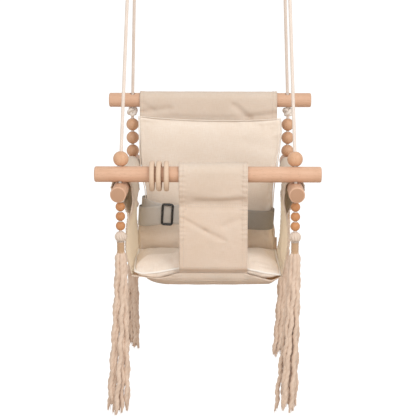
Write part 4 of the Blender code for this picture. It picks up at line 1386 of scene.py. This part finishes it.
def strap(name, route, lean, look, nodes=(), pulled=None):
    """Webbing along (x, y, z) points in the belt's frame. lean is how far its upper edge tips back.

    pulled is (body, fixed, moving). Only whether it is given is read: a pulled strap keeps its transform
    baked in and is not attached to a body. Its body and x values are not used.
    """
    line = smooth_path(route, spacing=0.0025)
    tangent = np.gradient(line, axis=0)
    columns = 8
    offsets = [WEBBING_WIDTH * (k / columns - 0.5) for k in range(columns + 1)]
    verts = []
    for i, centre in enumerate(line):
        along = Vector(tangent[i]).normalized()
        up = (Vector((0, lean, 1)) - along * along.dot(Vector((0, lean, 1)))).normalized()
        for offset in offsets:
            cup = 0.0004 * math.cos(math.pi * offset / WEBBING_WIDTH)
            verts.append(BELT_FRAME @ (Vector(centre) + up * offset - Vector((0, cup, 0))))
    across = [offset + WEBBING_WIDTH / 2 for offset in offsets]
    faces, uvs = grid_faces(across, reach_along(line), columns + 1, len(line))
    obj = new_mesh(name, verts, faces, uvs)
    solid = obj.modifiers.new("thickness", "SOLIDIFY")
    solid.thickness, solid.offset = WEBBING, 0.0
    edges = obj.modifiers.new("edges", "BEVEL")
    edges.width, edges.segments, edges.limit_method = 0.0005, 1, "ANGLE"
    apply_modifiers(obj)
    obj.data.materials.append(look)
    if pulled:
        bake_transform(obj)
    else:
        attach(obj, "swing")
    if nodes:
        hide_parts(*nodes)


def rounded_loop(width, height, radius, steps=6):
    """Points round a rectangle with round corners, in x and z."""
    loop = []
    for corner, (x, z) in enumerate(((1, 1), (-1, 1), (-1, -1), (1, -1))):
        for i in range(steps + 1):
            angle = math.pi / 2 * (corner + i / steps)
            cx, cz = x * (width / 2 - radius), z * (height / 2 - radius)
            loop.append((cx + radius * math.cos(angle), cz + radius * math.sin(angle)))
    return loop


def make_slider():
    """A strap slider: a rounded frame in front of the webbing and a middle bar behind it."""
    centre = Vector((SLIDER_X, BELT_Y, 0))
    loop = rounded_loop(SLIDER_WIDTH - 0.0042, SLIDER_HEIGHT - 0.0040, 0.0032)
    outline = even_path([(x, -0.0029, z) for x, z in loop + loop[:1]], 0.0012)[:-1]
    outline = [BELT_FRAME @ (centre + Vector(point)) for point in outline]
    parts = [tube_part(outline, steady(0.0023), 14, closed=True)]
    half = SLIDER_HEIGHT / 2 - 0.0018
    bridge = [(0, -0.0029, half), (0, 0.0018, half - 0.0006), (0, 0.0026, half - 0.003), (0, 0.0026, 0)]
    bridge += [(0, y, -z) for _, y, z in reversed(bridge[:3])]
    points = smooth_path([BELT_FRAME @ (centre + Vector(p)) for p in bridge], spacing=0.0015)
    parts.append(tube_part(points, steady(0.0013), 12))
    slider = join_parts("tri_glide_slider", parts)
    finish_piece(slider, "belt_slider", "black_plastic", BLACK_PLASTIC, "belt_slider")


def make_belt():
    right = [(0.1135, 0.1215, 0), (0.1180, 0.1213, 0), (0.1240, 0.1165, 0), (0.1268, 0.1040, 0)]
    right += [(0.1252, 0.0925, 0), (0.1195, 0.0820, 0), (0.110, 0.0745, 0), (0.098, BELT_Y, 0)]
    right += [(0.060, BELT_Y, 0), (0.0185, BELT_Y, 0)]
    strap("right_webbing_belt", right, 0.04, SHADED_RIGHT_WEBBING, ["right_belt"])
    near = [(-0.0234, BELT_Y, 0), (-0.050, BELT_Y, 0), (SLIDER_X, BELT_Y, 0)]
    near += [(-0.096, BELT_Y - 0.0003, -0.0022)]
    near += [(-0.112, 0.0712, -0.0054), (-0.126, 0.0760, -0.0084), (-0.1365, 0.087, -0.0105)]
    near += [(-0.1400, 0.100, -0.0115), (-0.1385, 0.1125, -0.0115), (-0.1325, 0.1195, -0.0115)]
    near += [(-0.1250, 0.1215, -0.0115), (-0.1190, 0.1217, -0.0115)]
    strap("left_webbing_belt", near, 0.02, LEFT_WEBBING, ["left_belt"], ("buckle_tongue", -0.104, -0.034))
    far = [(-0.088, BELT_Y + 0.0022, -0.0006), (-0.100, 0.0736, 0.0012), (-0.113, 0.0752, 0.0036)]
    far += [(-0.1240, 0.0805, 0.0056), (-0.1320, 0.090, 0.0068), (-0.1350, 0.102, 0.0070)]
    far += [(-0.1340, 0.1120, 0.0070), (-0.1290, 0.1175, 0.0070), (-0.1225, 0.1193, 0.0070)]
    strap("left_webbing_return", far, 0.10, LEFT_WEBBING, pulled=("belt_slider", -0.124, -0.092))
    make_slider()
    for node in ("buckle_socket", "buckle_tongue"):
        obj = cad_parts[node]
        obj.data.materials.clear()
        obj.data.materials.append(BLACK_PLASTIC)
        edges = obj.modifiers.new("edges", "BEVEL")
        edges.width, edges.segments, edges.limit_method = 0.0009, 3, "ANGLE"


# ---------------------------------------------------------------- studio


def make_stage():
    """A pale seamless floor under soft white light."""
    bpy.ops.mesh.primitive_plane_add(size=600, location=(0, 0, CAD_LOW.z - FLOOR_GAP))
    floor = bpy.context.object
    floor.name = "floor"
    floor.data.materials.append(paper_look("floor_paper", (0.92, 0.92, 0.92), 0.32))
    floor.visible_diffuse = False
    world = bpy.data.worlds.new("studio")
    world.use_nodes = True
    tree = world.node_tree
    background = tree.nodes["Background"]
    background.inputs["Strength"].default_value = 0.84
    place = tree.nodes.new("ShaderNodeTexCoord")
    parts = tree.nodes.new("ShaderNodeSeparateXYZ")
    sky = tree.nodes.new("ShaderNodeValToRGB")
    tones = ((0.18, (0.56, 0.43, 0.32, 1)), (0.50, (1, 1, 1, 1)))
    for element, (position, color) in zip(sky.color_ramp.elements, tones):
        element.position, element.color = position, color
    height = tree.nodes.new("ShaderNodeMapRange")
    height.inputs["From Min"].default_value = -1.0
    tree.links.new(parts.inputs[0], place.outputs["Generated"])
    tree.links.new(height.inputs["Value"], parts.outputs["Z"])
    tree.links.new(sky.inputs[0], height.outputs["Result"])
    tree.links.new(background.inputs["Color"], sky.outputs[0])
    bpy.context.scene.world = world
    bpy.context.scene.view_settings.view_transform = "Standard"


def area_light(name, location, target, size, power):
    data = bpy.data.lights.new(name, "AREA")
    data.size = size
    data.energy = power
    light = bpy.data.objects.new(name, data)
    light.location = location
    light.rotation_euler = (Vector(target) - Vector(location)).to_track_quat("-Z", "Y").to_euler()
    bpy.context.scene.collection.objects.link(light)


def make_camera():
    """A long lens at the front, 11 degrees above the seat."""
    azimuth, elevation = math.radians(0.84), math.radians(11.0)
    aim = Vector((-0.0019, 0.0, ARM_Z - 0.0612))
    distance = 2.348
    level = math.cos(elevation)
    back = Vector((math.sin(azimuth) * level, -math.cos(azimuth) * level, math.sin(elevation)))
    data = bpy.data.cameras.new("camera")
    data.lens = 107.15
    camera = bpy.data.objects.new("camera", data)
    camera.location = aim + back * distance
    camera.rotation_euler = (-back).to_track_quat("-Z", "Y").to_euler()
    bpy.context.scene.collection.objects.link(camera)
    bpy.context.scene.camera = camera


make_camera()
make_stage()
area_light("key", (1.1, -1.7, 0.8), (0, 0, -0.65), 1.2, 21)
area_light("low_fill", (-0.35, -2.2, -0.42), (0, 0.08, -0.70), 0.8, 10)
make_wood()
make_cords()
make_back_canvas()
make_seat_canvas()
for wing_label, wing_side in SIDES:
    make_wing(wing_label, wing_side)
make_crotch_panel()
make_back_cushion()
make_seat_cushion()
make_belt()
